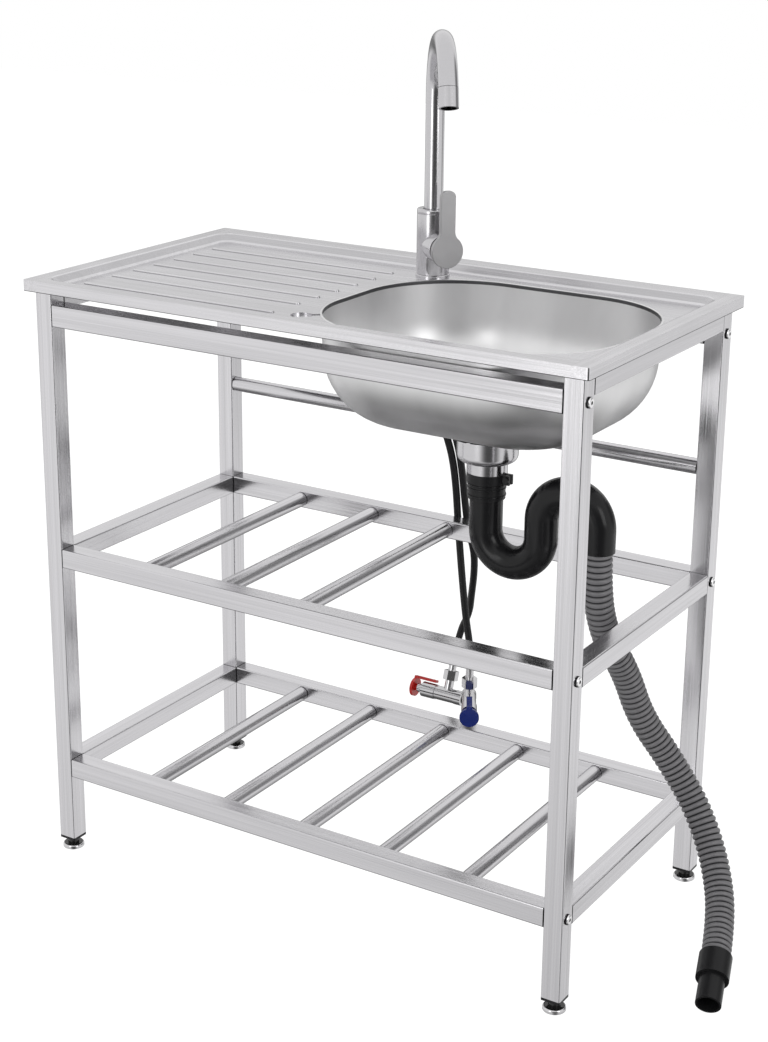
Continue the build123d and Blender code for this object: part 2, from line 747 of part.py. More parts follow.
drain_path = hose_path(drain_route, "drain hose")
drain_length = drain_path.length
rib_total = int((drain_length - 2 * hose_cuff) / hose_rib_pitch)
ribs_start = (drain_length - rib_total * hose_rib_pitch) / 2
crest = hose_diameter / 2
valley = hose_valley / 2
stations = [(0, crest), (ribs_start, crest)]
for k in range(rib_total):
    rib_at = ribs_start + k * hose_rib_pitch
    stations.append((rib_at + rib_valley_start * hose_rib_pitch, valley))
    stations.append((rib_at + rib_valley_end * hose_rib_pitch, valley))
    stations.append((rib_at + rib_crest_start * hose_rib_pitch, crest))
    stations.append((rib_at + rib_crest_end * hose_rib_pitch, crest))
stations.append((drain_length, crest))

# the ribs are lofted in spans that share their end circles
span = ceil(len(stations) / hose_spans)
with BuildPart() as drain_hose:
    for first in range(0, len(stations) - 1, span):
        for along, radius in stations[first:first + span + 1]:
            station_plane = Plane(origin=drain_path.position_at(along, PositionMode.LENGTH),
                                  x_dir=(1, 0, 0),
                                  z_dir=drain_path.tangent_at(along, PositionMode.LENGTH))
            with BuildSketch(station_plane):
                Circle(radius)
        loft(ruled=True)
    with BuildSketch(start_plane(drain_route)):
        Circle(hose_bore / 2)
    sweep(path=drain_path, mode=Mode.SUBTRACT)
save(drain_hose.part, "drain_hose")

rib_slope_mean = (crest ** 2 + crest * valley + valley ** 2) / 3
valley_share = rib_valley_end - rib_valley_start
crest_share = rib_crest_end - rib_crest_start
slope_share = 1 - valley_share - crest_share
rib_mean = valley_share * valley ** 2 + crest_share * crest ** 2 + slope_share * rib_slope_mean
drain_section = pi * (rib_mean - (hose_bore / 2) ** 2)
print("drain hose volume", round(drain_hose.part.volume), "section x length",
      round(drain_section * drain_length))

hose_end = Vector(*drain_route[-1])
connector_dir = last_run(drain_route)
connector_plane = Plane(origin=hose_end - connector_dir * connector_grip, z_dir=connector_dir)
with BuildPart() as hose_connector:
    with BuildSketch(connector_plane):
        Circle(connector_collar / 2)
    extrude(amount=connector_collar_length)
    with BuildSketch(connector_plane.offset(connector_collar_length)):
        Circle(connector_spigot / 2)
    extrude(amount=connector_spigot_length)
    with BuildSketch(connector_plane):
        Circle(hose_diameter / 2 + fit_gap)
    extrude(amount=connector_grip, mode=Mode.SUBTRACT)
    with BuildSketch(connector_plane):
        Circle(connector_bore / 2)
    extrude(amount=connector_collar_length + connector_spigot_length, mode=Mode.SUBTRACT)
save(hose_connector.part, "hose_connector")

# ======================= Mixer tap =======================

ring_top = deck_z + base_ring_height
body_top = deck_z + tap_body_height
spout_bend_z = body_top + spout_riser
socket_floor = body_top - spout_socket_depth
lever_z = body_top - lever_drop
shank_end = deck_z - shank_length
lever_out = Vector(sin(radians(lever_direction)), -cos(radians(lever_direction)), 0)
lever_side = Vector(0, 0, 1).cross(lever_out)
lever_plane = Plane(origin=(tap_x, tap_y, lever_z), x_dir=lever_side, z_dir=lever_out)
pivot_spot = Vector(tap_x, tap_y, lever_z) + lever_out * pivot_reach

with BuildPart() as faucet_base_ring:
    add(ring_bar(Plane(origin=(tap_x, tap_y, deck_z)), base_ring_diameter,
                 shank_diameter + 2 * running_gap, base_ring_height))
    fillet(faucet_base_ring.edges().filter_by(GeomType.CIRCLE).group_by(Axis.Z)[-1]
           .sort_by(SortBy.RADIUS)[-1], base_ring_round)
save(faucet_base_ring.part, "faucet_base_ring")

with BuildPart() as faucet_body:
    socket_radius = spout_tube / 2 + fit_gap / 2
    add(turned(tap_x, tap_y, [
        (0, shank_end), (shank_diameter / 2, shank_end), (shank_diameter / 2, ring_top),
        (tap_body_diameter / 2, ring_top), (tap_body_diameter / 2, body_top),
        (socket_radius, body_top), (socket_radius, socket_floor), (0, socket_floor)]))
    fillet(faucet_body.edges().filter_by(GeomType.CIRCLE).group_by(Axis.Z)[-1]
           .sort_by(SortBy.RADIUS)[-1], tap_body_round)
    with BuildSketch(lever_plane):
        Circle(housing_diameter / 2)
    extrude(amount=housing_reach)
    with BuildSketch(lever_plane.offset(cartridge_start)):
        Circle(cartridge_diameter / 2 + running_gap)
    extrude(amount=housing_reach - cartridge_start, mode=Mode.SUBTRACT)
    with BuildSketch(Plane(origin=(tap_x, tap_y, shank_end))):
        with Locations((supply_spacing / 2, 0), (-supply_spacing / 2, 0)):
            Circle(inlet_hole / 2)
    extrude(amount=inlet_depth, mode=Mode.SUBTRACT)
save(faucet_body.part, "faucet_body")

with BuildPart() as faucet_washer:
    add(ring_bar(Plane(origin=(tap_x, tap_y, deck_under - washer_thickness)),
                 washer_diameter, shank_diameter + 2 * fit_gap, washer_thickness))
save(faucet_washer.part, "faucet_washer")

with BuildPart() as faucet_mounting_nut:
    with BuildSketch(Plane(origin=(tap_x, tap_y, deck_under - washer_thickness))):
        RegularPolygon(mounting_nut_width / 2, 6, major_radius=False)
        Circle(shank_diameter / 2 + fit_gap, mode=Mode.SUBTRACT)
    extrude(amount=-mounting_nut_height)
save(faucet_mounting_nut.part, "faucet_mounting_nut")

spout_out = Vector(sin(radians(spout_direction)), -cos(radians(spout_direction)), 0)
bend_center = Vector(tap_x, tap_y, spout_bend_z) + spout_out * spout_bend_radius


def on_bend(angle):
    """Point on the spout's bend, measured from its start."""
    return (bend_center - spout_out * spout_bend_radius * cos(radians(angle))
            + Vector(0, 0, 1) * spout_bend_radius * sin(radians(angle)))


with BuildLine() as spout_line:
    Line((tap_x, tap_y, socket_floor), on_bend(0))
    ThreePointArc(on_bend(0), on_bend(spout_bend_angle / 2), on_bend(spout_bend_angle))
with BuildPart() as spout:
    with BuildSketch(Plane(origin=(tap_x, tap_y, socket_floor))):
        Circle(spout_tube / 2)
        Circle(spout_tube / 2 - spout_wall, mode=Mode.SUBTRACT)
    sweep(path=spout_line.line)
save(spout.part, "spout")

outlet_dir = (spout_out * sin(radians(spout_bend_angle))
              + Vector(0, 0, 1) * cos(radians(spout_bend_angle)))
aerator_plane = Plane(origin=on_bend(spout_bend_angle), x_dir=lever_side, z_dir=outlet_dir)
with BuildPart() as aerator:
    add(ring_bar(aerator_plane, aerator_diameter, aerator_bore, aerator_length))
    with BuildSketch(aerator_plane.offset(aerator_length - aerator_screen_depth)):
        Circle(aerator_bore / 2 + fit_gap)
        with PolarLocations(screen_outer_ring, screen_outer_holes):
            Circle(screen_hole / 2, mode=Mode.SUBTRACT)
        with PolarLocations(screen_inner_ring, screen_inner_holes):
            Circle(screen_hole / 2, mode=Mode.SUBTRACT)
    extrude(amount=-aerator_screen_depth / 2)
save(aerator.part, "aerator")

with BuildPart() as cartridge:
    add(ring_bar(lever_plane.offset(cartridge_start), cartridge_diameter, 0, cartridge_length))
save(cartridge.part, "cartridge")

turret_start = cartridge_start + cartridge_length + running_gap
with BuildPart() as cartridge_stem:
    add(ring_bar(lever_plane.offset(turret_start), turret_diameter, 0,
                 turret_end - turret_start))
    with BuildSketch(lever_plane.offset(turret_slot_start)):
        with Locations((0, (turret_slot_top - turret_slot_bottom) / 2)):
            Rectangle(turret_slot, turret_slot_top + turret_slot_bottom)
    extrude(amount=turret_end - turret_slot_start, mode=Mode.SUBTRACT)
    # cross pin that carries the lever
    add(ring_bar(Plane(origin=pivot_spot - lever_side * turret_slot, z_dir=lever_side),
                 lever_pin, 0, 2 * turret_slot))
save(cartridge_stem.part, "cartridge_stem")

with BuildPart() as cartridge_nut:
    nut_bore = turret_diameter + 2 * running_gap
    add(ring_bar(lever_plane.offset(housing_reach - ring_thread_length),
                 cartridge_diameter + 2 * (running_gap - fit_gap / 2), nut_bore,
                 ring_thread_length))
    add(ring_bar(lever_plane.offset(housing_reach), ring_lip_diameter, nut_bore, ring_lip))
save(cartridge_nut.part, "cartridge_nut")

swing_plane = Plane(origin=pivot_spot, x_dir=lever_out, z_dir=-lever_side)
with BuildPart() as faucet_handle:
    with BuildSketch(lever_plane.offset(lever_disc_reach)) as plate:
        Circle(lever_disc / 2)
        with Locations((0, lever_tab_height / 2)):
            Rectangle(lever_tab_width, lever_tab_height)
        fillet(plate.vertices().group_by(Axis.Y)[-2], lever_shoulder)
        fillet(plate.vertices().group_by(Axis.Y)[-1], lever_tab_corner)
    extrude(amount=lever_thickness)
    plate_faces = faucet_handle.faces().filter_by(Axis((0, 0, 0), lever_out))
    fillet(plate_faces.edges(), lever_edge_round)
    rod_run = lever_disc_reach - pivot_reach
    with BuildSketch(swing_plane):
        Circle(lever_rod / 2)
        with Locations((rod_run / 2, 0)):
            Rectangle(rod_run, lever_rod)
    extrude(amount=lever_rod / 2, both=True)
    with BuildSketch(swing_plane):
        Circle(lever_pin / 2 + running_gap)
    extrude(amount=lever_rod, both=True, mode=Mode.SUBTRACT)
save(faucet_handle.part, "faucet_handle")

# ======================= Supply hoses and stop valves =======================

supply_routes = {"hot": hot_route, "cold": cold_route}
for name, route in supply_routes.items():
    supply_path = hose_path(route, name + " supply hose")
    with BuildPart() as supply_tube:
        with BuildSketch(start_plane(route)):
            Circle(supply_hose / 2)
            Circle(supply_bore / 2, mode=Mode.SUBTRACT)
        sweep(path=supply_path)
    ideal = pi * (supply_hose ** 2 - supply_bore ** 2) / 4 * supply_path.length
    print(name, "supply hose volume", round(supply_tube.part.volume), "section x length",
          round(ideal))
    save(supply_tube.part, f"supply_hose_{name}")

with BuildPart() as hose_ferrules:
    for route in supply_routes.values():
        add(ring_bar(Plane(origin=route[0]), ferrule_diameter, supply_bore, ferrule_length))
        add(ring_bar(Plane(origin=route[-1], z_dir=last_run(route)), ferrule_diameter,
                     supply_bore, ferrule_length))
save(hose_ferrules.part, "hose_ferrules")

# one stop valve in its own frame: spindle along +Z, hose branch along +X
arm_end = valve_front - valve_arm_length
arm_middle = valve_arm_inner + valve_arm_thickness / 2
with BuildPart() as stop_valve:
    add(ring_bar(Plane.XY.offset(-valve_rear), valve_body, 0, valve_rear + valve_grip_start))
    add(ring_bar(Plane.XY.offset(valve_grip_start), valve_grip, 0, valve_grip_length))
    add(ring_bar(Plane.XY.offset(valve_grip_start), valve_neck, 0,
                 valve_neck_end - valve_grip_start))
    add(ring_bar(Plane.XY.offset(-valve_rear - inlet_length), inlet_thread, 0, inlet_length))
    add(ring_bar(Plane.YZ, branch_diameter, 0, branch_length))
    with BuildSketch(Plane.XY.offset(-valve_rear - inlet_length)):
        Circle(inlet_bore / 2)
    extrude(amount=inlet_length + valve_rear / 2, mode=Mode.SUBTRACT)
    with BuildSketch(Plane.XY.offset(valve_neck_end)):
        Circle(valve_stem / 2 + valve_stem_fit)
    extrude(amount=-valve_stem_depth - running_gap, mode=Mode.SUBTRACT)
    with BuildSketch(Plane.YZ):
        Circle(supply_bore / 2)
    extrude(amount=branch_length, mode=Mode.SUBTRACT)

with BuildPart() as valve_handle:
    add(ring_bar(Plane.XY.offset(valve_front - valve_disc_thickness), valve_disc, 0,
                 valve_disc_thickness))
    add(ring_bar(Plane.XY.offset(valve_neck_end + running_gap), valve_hub, 0,
                 valve_front - valve_neck_end - running_gap))
    add(ring_bar(Plane.XY.offset(valve_neck_end - valve_stem_depth), valve_stem, 0,
                 valve_front - valve_neck_end + valve_stem_depth))
    # flat arm folded back along the body
    with BuildSketch(Plane.XY.offset(valve_front)):
        with Locations(((valve_arm_inner + valve_arm_thickness) / 2, 0)):
            Rectangle(valve_arm_inner + valve_arm_thickness, valve_arm_width)
    extrude(amount=-valve_disc_thickness)
    with BuildSketch(Plane.XY.offset(valve_front)):
        with Locations((arm_middle, 0)):
            Rectangle(valve_arm_thickness, valve_arm_width)
    extrude(amount=-valve_arm_length)

with BuildPart() as union_nut:
    with BuildSketch(Plane.YZ.offset(valve_nut_start)):
        RegularPolygon(valve_nut_width / 2, 6, major_radius=False)
        Circle(supply_bore / 2, mode=Mode.SUBTRACT)
    extrude(amount=valve_nut_height)
    with BuildSketch(Plane.YZ.offset(valve_nut_start)):
        Circle(branch_diameter / 2 + fit_gap)
    extrude(amount=branch_length - valve_nut_start, mode=Mode.SUBTRACT)

valve_reach = valve_nut_start + valve_nut_height + ferrule_length
turn = radians(cold_valve_turn)
spindles = {"hot": Vector(-1, 0, 0), "cold": Vector(sin(turn), -cos(turn), 0)}
valve_places = {}
for name, route in supply_routes.items():
    branch = last_run(route) * -1
    valve_places[name] = Plane(origin=Vector(*route[-1]) - branch * valve_reach, x_dir=branch,
                               z_dir=spindles[name])
    with BuildPart() as placed_valve:
        add(valve_places[name].location * stop_valve.part)
    save(placed_valve.part, f"{name}_valve_body")
    with BuildPart() as placed_handle:
        add(valve_places[name].location * valve_handle.part)
    save(placed_handle.part, f"{name}_valve_handle")

with BuildPart() as hose_nuts:
    for place in valve_places.values():
        add(place.location * union_nut.part)
save(hose_nuts.part, "hose_nuts")
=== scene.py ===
"""A free-standing stainless kitchen sink unit, dressed piece by piece around its measured frame."""

from math import atan2, cos, pi, radians, sin, tan

import bmesh
import bpy
from mathutils import Matrix, Vector


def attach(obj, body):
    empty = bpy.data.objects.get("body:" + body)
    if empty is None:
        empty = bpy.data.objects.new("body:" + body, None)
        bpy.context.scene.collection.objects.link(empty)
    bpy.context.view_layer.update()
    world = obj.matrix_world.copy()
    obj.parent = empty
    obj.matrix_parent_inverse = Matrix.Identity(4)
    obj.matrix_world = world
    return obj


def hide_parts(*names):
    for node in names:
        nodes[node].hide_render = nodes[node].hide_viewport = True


bl_info = {
    "name": "Kitchen Sink Unit",
    "version": (1, 0, 0),
    "blender": (4, 5, 0),
    "location": "3D View > Sidebar > Sink Unit",
    "description": "Dresses a free-standing steel sink unit around its measured frame",
    "category": "Add Mesh",
}

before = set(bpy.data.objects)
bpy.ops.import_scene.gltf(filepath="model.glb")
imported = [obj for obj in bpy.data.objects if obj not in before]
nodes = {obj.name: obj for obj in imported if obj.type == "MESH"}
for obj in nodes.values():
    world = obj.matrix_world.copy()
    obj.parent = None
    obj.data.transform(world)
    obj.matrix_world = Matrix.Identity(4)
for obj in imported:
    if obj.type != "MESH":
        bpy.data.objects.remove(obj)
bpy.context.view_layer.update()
mm = 0.001

# Routes of the hoses, in millimetres, from the fitting at the top to the one below
drain_route = [(314.5, -11, 524), (314.5, -11, 458), (319, 10.5, 391.5), (333, 43, 340),
               (347.5, 61.5, 275), (382.5, 82.5, 216.5), (424.5, 81.5, 159.5),
               (462, 56.5, 105), (492, 9, 62), (510.2, -52.4, 35.9)]
hot_route = [(0.2, 137, 717), (0.2, 137, 660), (11, 148, 600), (20, 166, 549), (15, 189, 500),
             (10, 207, 450), (13, 212, 412), (19, 220, 378), (10, 237, 340), (-3, 254, 300),
             (-21.6, 282.4, 258), (-44.6, 295.9, 221.6), (-44.6, 282.3, 184)]
cold_route = [(-12.2, 137, 717), (-12.2, 137, 660), (-2, 147, 600), (7.5, 163, 549),
              (7, 178, 515), (2.5, 195, 472), (-1.2, 207, 430), (0.8, 211, 385), (5, 213, 335),
              (12, 213, 280), (20, 213, 240), (20, 213, 212)]

# The worktop, in millimetres: its edges, its rim, the recess's floor and the skirt's foot
half_width, half_depth, rim_z, deck_z, skirt_z = 390.0, 210.0, 785.0, 775.0, 771.0

# The drainboard's ribs, in millimetres: six at a pitch from the back one, one at the front, and
# the reach of the painted shade line along each one's foot
rib_pitch, rib_back, rib_front = 42.5, 119.0, -148.0
rib_left, rib_right = -340.5, -56.5

# Ends of the rails, bars and legs, in millimetres, and the width of the painted shade line at their
# joints
rail_end_x, rail_end_y, leg_shade_from, joint_shade_width = 355.0, 174.0, 769.6, 0.9

# Where the painted shade round the bolts' heads and in their sockets ends in x, and the top of a
# foot's steel disc, in millimetres
bolt_shade_x, foot_disc_top = 381.5, 5.1

# The bowl, in millimetres: its opening, and the large rounding at its bottom
bowl_x, bowl_y, bowl_half_width, bowl_half_length, bowl_corner = 163.0, -12.0, 190.5, 160.5, 125.0
bowl_draft, bottom_inset, bottom_round, bottom_round_z = 2.0, 87.58, 86.0, 730.0
drain_x, drain_y = 162.5, -11.0

# The tap's own axes, in millimetres
tap_x, tap_y, body_top = -6.0, 137.0, 862.0
lever_z = 815.0
lever_out = (0.788, -0.6157, 0.0)
spout_tip = (79.37, 21.61, 1029.31)
spout_axis = (0.2034, -0.275, -0.9397)


# ======================= Settings =======================


class StageSettings(bpy.types.PropertyGroup):
    """Camera, floor and lights."""

    camera_place: bpy.props.FloatVectorProperty(
        name="Camera place", description="Where the camera stands", subtype="XYZ",
        unit="LENGTH", default=(1.26634, -2.0189, 1.30379))
    camera_azimuth: bpy.props.FloatProperty(
        name="Camera azimuth", description="Angle round the unit from its front",
        subtype="ANGLE", default=radians(32.151))
    camera_elevation: bpy.props.FloatProperty(
        name="Camera elevation", description="Angle above the horizon",
        subtype="ANGLE", default=radians(18.031))
    camera_roll: bpy.props.FloatProperty(
        name="Camera roll", description="Tilt of the horizon", subtype="ANGLE",
        default=radians(0.453))
    lens: bpy.props.FloatProperty(
        name="Lens", description="Focal length", unit="CAMERA", default=68.56)
    shift_across: bpy.props.FloatProperty(
        name="Shift across", description="Sideways lens shift", default=0.0075)
    shift_up: bpy.props.FloatProperty(
        name="Shift up", description="Upward lens shift", default=-0.0325)
    floor_size: bpy.props.FloatProperty(
        name="Floor size", description="Side of the square floor", unit="LENGTH", default=14.0)
    floor_color: bpy.props.FloatVectorProperty(
        name="Floor colour", description="Colour of the studio floor", subtype="COLOR",
        default=(0.9, 0.9, 0.9))
    shadow: bpy.props.FloatProperty(
        name="Floor shadow", description="How much of its shadow the white floor keeps",
        default=0.16)
    room_light: bpy.props.FloatProperty(
        name="Room light", description="Strength of the even light from all round", default=0.55)
    key_light: bpy.props.FloatProperty(
        name="Key light", description="Power of the lamp above", unit="POWER",
        default=20.0)
    right_light: bpy.props.FloatProperty(
        name="Right light", description="Power of the lamp at the right", unit="POWER",
        default=11.0)
    left_light: bpy.props.FloatProperty(
        name="Left light", description="Power of the tall strip lamp at the front", unit="POWER",
        default=11.0)


class SteelSettings(bpy.types.PropertyGroup):
    """Colour and brushing of the steel."""

    sheet_color: bpy.props.FloatVectorProperty(
        name="Sheet colour", description="Colour of the pressed sheet", subtype="COLOR",
        default=(0.665, 0.657, 0.675))
    tube_color: bpy.props.FloatVectorProperty(
        name="Tube colour", description="Colour of the stand's tubes", subtype="COLOR",
        default=(0.62, 0.612, 0.63))
    tap_color: bpy.props.FloatVectorProperty(
        name="Tap colour", description="Colour of the tap's plating", subtype="COLOR",
        default=(0.56, 0.553, 0.568))
    sheet_roughness: bpy.props.FloatProperty(
        name="Sheet roughness", description="How dull the sheet is", default=0.24)
    tube_roughness: bpy.props.FloatProperty(
        name="Tube roughness", description="How dull the tubes are", default=0.2)


class PlasticSettings(bpy.types.PropertyGroup):
    """Colours of the moulded and rubber pieces."""

    black: bpy.props.FloatVectorProperty(
        name="Black", description="Trap, caps and connector", subtype="COLOR",
        default=(0.012, 0.012, 0.013))
    hose_grey: bpy.props.FloatVectorProperty(
        name="Hose grey", description="Ribbed drain hose", subtype="COLOR",
        default=(0.2, 0.196, 0.205))
    hot_red: bpy.props.FloatVectorProperty(
        name="Hot red", description="Handle of the hot stop valve", subtype="COLOR",
        default=(0.62, 0.02, 0.015))
    cold_blue: bpy.props.FloatVectorProperty(
        name="Cold blue", description="Handle of the cold stop valve", subtype="COLOR",
        default=(0.006, 0.022, 0.2))


class HoseSettings(bpy.types.PropertyGroup):
    """Sizes of the drain hose and the supply hoses."""

    outer: bpy.props.FloatProperty(
        name="Hose diameter", description="Across the drain hose's ribs", unit="LENGTH",
        default=36 * mm)
    valley: bpy.props.FloatProperty(
        name="Valley diameter", description="Between the drain hose's ribs", unit="LENGTH",
        default=30.6 * mm)
    bore: bpy.props.FloatProperty(
        name="Hose bore", description="Inside of the drain hose", unit="LENGTH",
        default=29.2 * mm)
    rib_pitch: bpy.props.FloatProperty(
        name="Rib pitch", description="From one rib to the next", unit="LENGTH",
        default=7.6 * mm)
    supply: bpy.props.FloatProperty(
        name="Supply hose diameter", description="Across a supply hose", unit="LENGTH",
        default=10 * mm)


class SinkUnitSettings(bpy.types.PropertyGroup):
    """Everything a user may change."""

    stage: bpy.props.PointerProperty(type=StageSettings)
    steel: bpy.props.PointerProperty(type=SteelSettings)
    plastic: bpy.props.PointerProperty(type=PlasticSettings)
    hoses: bpy.props.PointerProperty(type=HoseSettings)


# ======================= Shader arithmetic =======================


class Value:
    """A shader socket that takes part in ordinary arithmetic."""

    def __init__(self, shader, socket):
        self.shader = shader
        self.socket = socket

    def math(self, operation, *others):
        return self.shader.node("ShaderNodeMath", {"operation": operation},
                                {i: v for i, v in enumerate((self, *others))})

    def __add__(self, other):
        return self.math("ADD", other)

    def __radd__(self, other):
        return self.math("ADD", other)

    def __sub__(self, other):
        return self.math("SUBTRACT", other)

    def __rsub__(self, other):
        return self.shader.node("ShaderNodeMath", {"operation": "SUBTRACT"}, {0: other, 1: self})

    def __mul__(self, other):
        return self.math("MULTIPLY", other)

    def __rmul__(self, other):
        return self.math("MULTIPLY", other)

    def __truediv__(self, other):
        return self.math("DIVIDE", other)

    def __abs__(self):
        return self.math("ABSOLUTE")

    def __mod__(self, other):
        return self.math("FLOORED_MODULO", other)

    def over(self, limit):
        return self.math("GREATER_THAN", limit)

    def under(self, limit):
        return self.math("LESS_THAN", limit)

    def either(self, other):
        return self.math("MAXIMUM", other)


class Shader:
    """One material, or the world, under construction."""

    def __init__(self, name, holder=None):
        self.material = holder or bpy.data.materials.new(name)
        self.material.use_nodes = True
        self.tree = self.material.node_tree
        self.tree.nodes.clear()

    def node(self, kind, settings=None, inputs=None, output=0):
        made = self.tree.nodes.new(kind)
        for name, value in (settings or {}).items():
            setattr(made, name, value)
        for name, value in (inputs or {}).items():
            self.feed(made.inputs[name], value)
        return Value(self, made.outputs[output])

    def feed(self, socket, value):
        if isinstance(value, Value):
            self.tree.links.new(value.socket, socket)
        elif hasattr(value, "__len__") and len(value) == 3 and socket.type == "RGBA":
            socket.default_value = (*value, 1)
        else:
            socket.default_value = value

    def place(self, scale=(1, 1, 1)):
        """Object coordinates, stretched."""
        coordinates = self.node("ShaderNodeTexCoord", output="Object")
        return self.node("ShaderNodeMapping", inputs={"Vector": coordinates, "Scale": scale})

    def spot(self):
        """The place on the unit in millimetres, as three values."""
        parts = self.tree.nodes.new("ShaderNodeSeparateXYZ")
        self.feed(parts.inputs[0], self.node("ShaderNodeTexCoord", output="Object"))
        return [Value(self, side) / mm for side in parts.outputs]

    def from_axis(self, origin, direction):
        """Distances along and away from an axis, in millimetres."""
        place = self.node("ShaderNodeTexCoord", output="Object")
        offset = self.node("ShaderNodeVectorMath", {"operation": "SUBTRACT"},
                           {0: place, 1: [c * mm for c in origin]})
        along = self.node("ShaderNodeVectorMath", {"operation": "DOT_PRODUCT"},
                          {0: offset, 1: direction}, output="Value")
        sideways = self.node("ShaderNodeVectorMath", {"operation": "CROSS_PRODUCT"},
                             {0: offset, 1: direction})
        away = self.node("ShaderNodeVectorMath", {"operation": "LENGTH"}, {0: sideways},
                         output="Value")
        return along / mm, away / mm

    def noise(self, vector, scale, detail=3.0, roughness=0.5):
        return self.node("ShaderNodeTexNoise", inputs={
            "Vector": vector, "Scale": scale, "Detail": detail, "Roughness": roughness})

    def mix(self, amount, first, second):
        return self.node("ShaderNodeMix", {"data_type": "RGBA"},
                         {"Factor": amount, "A": first, "B": second}, output="Result")

    def between(self, value, low, high, new_low=0.0, new_high=1.0):
        return self.node("ShaderNodeMapRange", {"interpolation_type": "SMOOTHSTEP"}, {
            "Value": value, "From Min": low, "From Max": high,
            "To Min": new_low, "To Max": new_high})

    def bump(self, height, distance, strength=1.0):
        return self.node("ShaderNodeBump", inputs={
            "Height": height, "Distance": distance, "Strength": strength})

    def finish(self, **inputs):
        """Close the material with one Principled surface."""
        named = {name.replace("_", " "): value for name, value in inputs.items()}
        return self.close(self.node("ShaderNodeBsdfPrincipled", inputs=named))

    def close(self, surface, kind="ShaderNodeOutputMaterial"):
        output = self.tree.nodes.new(kind)
        self.feed(output.inputs["Surface"], surface)
        return self.material


# ======================= Materials =======================

finishes = {}


def finish_once(make):
    """Each finish is made the first time it is asked for."""
    def wrapped(settings, *kinds):
        key = (make.__name__, *kinds)
        if key not in finishes:
            finishes[key] = make(settings, *kinds)
        return finishes[key]
    return wrapped


grain_scales = {"along_x": (2.5, 1, 1), "along_y": (1, 2.5, 1), "along_z": (1, 1, 2.5)}


def brushing(shader, stretch, fine=620.0, broad=150.0):
    """Long streaks of two widths: fine brush marks and the broader bands they gather in."""
    along = [1.0 if s > 1 else 0.0 for s in stretch]

    def scaled(across):
        return [stretch[k] if along[k] else across for k in range(3)]

    thin = shader.noise(shader.place(scaled(fine)), 1.0, 3.0, 0.6)
    wide = shader.noise(shader.place(scaled(broad)), 1.0, 3.0, 0.55)
    return shader.between(thin, 0.3, 0.7), shader.between(wide, 0.32, 0.68)


# Painted shade for the gaps between parts: tube joints, the worktop's corner seams and skirt foot,
# and round the bolts' heads
painted_joint_shade = (0.025, 0.025, 0.027)


@finish_once
def brushed_tube(settings, grain):
    """Satin steel tube, brushed along its length, with a painted shade line at its ends where it
    meets the next tube.
    """
    steel = settings.steel
    shader = Shader("brushed_tube_" + grain)
    thin, wide = brushing(shader, grain_scales[grain])
    marks = thin * 0.55 + wide * 0.45
    color = shader.mix(marks, [c * 0.9 for c in steel.tube_color],
                       [min(1, c * 1.12) for c in steel.tube_color])
    x, y, z = shader.spot()
    # Painted shade: dark lines where rails and bars meet the legs, and on the legs' tops under the
    # skirt
    ends = {"along_x": abs(x).over(rail_end_x - joint_shade_width),
            "along_y": abs(y).over(rail_end_y - joint_shade_width), "along_z": z.over(leg_shade_from)}
    color = shader.mix(ends[grain], color, painted_joint_shade)
    roughness = steel.tube_roughness - 0.04 + thin * 0.08 + wide * 0.03
    return shader.finish(Base_Color=color, Metallic=1.0, Roughness=roughness,
                         Normal=shader.bump(thin, 0.00002, 0.25))


def painted_rib_shade(x, y):
    """Painted shade line at the front foot of each drainboard rib, and a painted shade mark at its
    right end.
    """
    line_width, mark_width = 3.0, 3.4
    line = ((y - (rib_back - 6.6)) % rib_pitch).under(line_width) * y.over(-101) * y.under(120)
    line = line.either(abs(y - (rib_front - 5)).under(line_width / 2))
    line = line * abs(x - (rib_left + rib_right) / 2).under((rib_right - rib_left) / 2)
    mark = ((y - (rib_back - 1.8)) % rib_pitch).under(mark_width) * y.over(-97) * y.under(122)
    mark = mark.either(abs(y - (rib_front - 0.5)).under(mark_width / 2))
    mark = mark * abs(x - (rib_right + 2.9)).under(1.8)
    return line * 0.62 + mark * 0.38


@finish_once
def worktop_sheet(settings):
    """Pressed sheet brushed along its rims, with painted shade in the corner seams and under the
    skirt, painted shade lines at the ribs and painted shade on the slopes round the recess."""
    steel = settings.steel
    shader = Shader("worktop_sheet")
    x, y, z = shader.spot()
    side = abs(x).over(half_width - 22)
    thin_long, wide_long = brushing(shader, (3.0, 1, 1), 700.0, 190.0)
    thin_side, wide_side = brushing(shader, (1, 3.0, 1), 700.0, 190.0)
    thin = thin_long * (1 - side) + thin_side * side
    wide = wide_long * (1 - side) + wide_side * side
    clouds = shader.between(shader.noise(shader.place((3, 9, 9)), 2.0, 3.0), 0.3, 0.7)
    marks = thin * 0.4 + wide * 0.35 + clouds * 0.25
    color = shader.mix(marks, [c * 0.88 for c in steel.sheet_color],
                       [min(1, c * 1.12) for c in steel.sheet_color])
    # Painted shade: dark lines in the corner seams and along the foot of the skirt
    corner_seam_shade = abs(x).over(half_width - 1.1) * abs(y).over(half_depth - 1.1) * z.under(rim_z - 1)
    color = shader.mix(corner_seam_shade.either(z.under(skirt_z + 0.7)), color, painted_joint_shade)
    # Painted shade at the ribs' feet and right ends
    color = shader.mix(painted_rib_shade(x, y) * z.under(deck_z + 2), color, (0.16, 0.16, 0.165))
    inside = abs(x).under(half_width - 2) * abs(y).under(half_depth - 2)
    # Painted shade darkening the slopes between the rim and the recess's floor
    painted_slope_shade = z.over(deck_z + 2.4) * z.under(rim_z - 0.8) * inside
    color = shader.mix(painted_slope_shade * 0.4, color, (0.28, 0.277, 0.286))
    roughness = steel.sheet_roughness - 0.04 + thin * 0.06 + clouds * 0.04
    return shader.finish(Base_Color=color, Metallic=1.0, Roughness=roughness,
                         Normal=shader.bump(thin, 0.00002, 0.25))


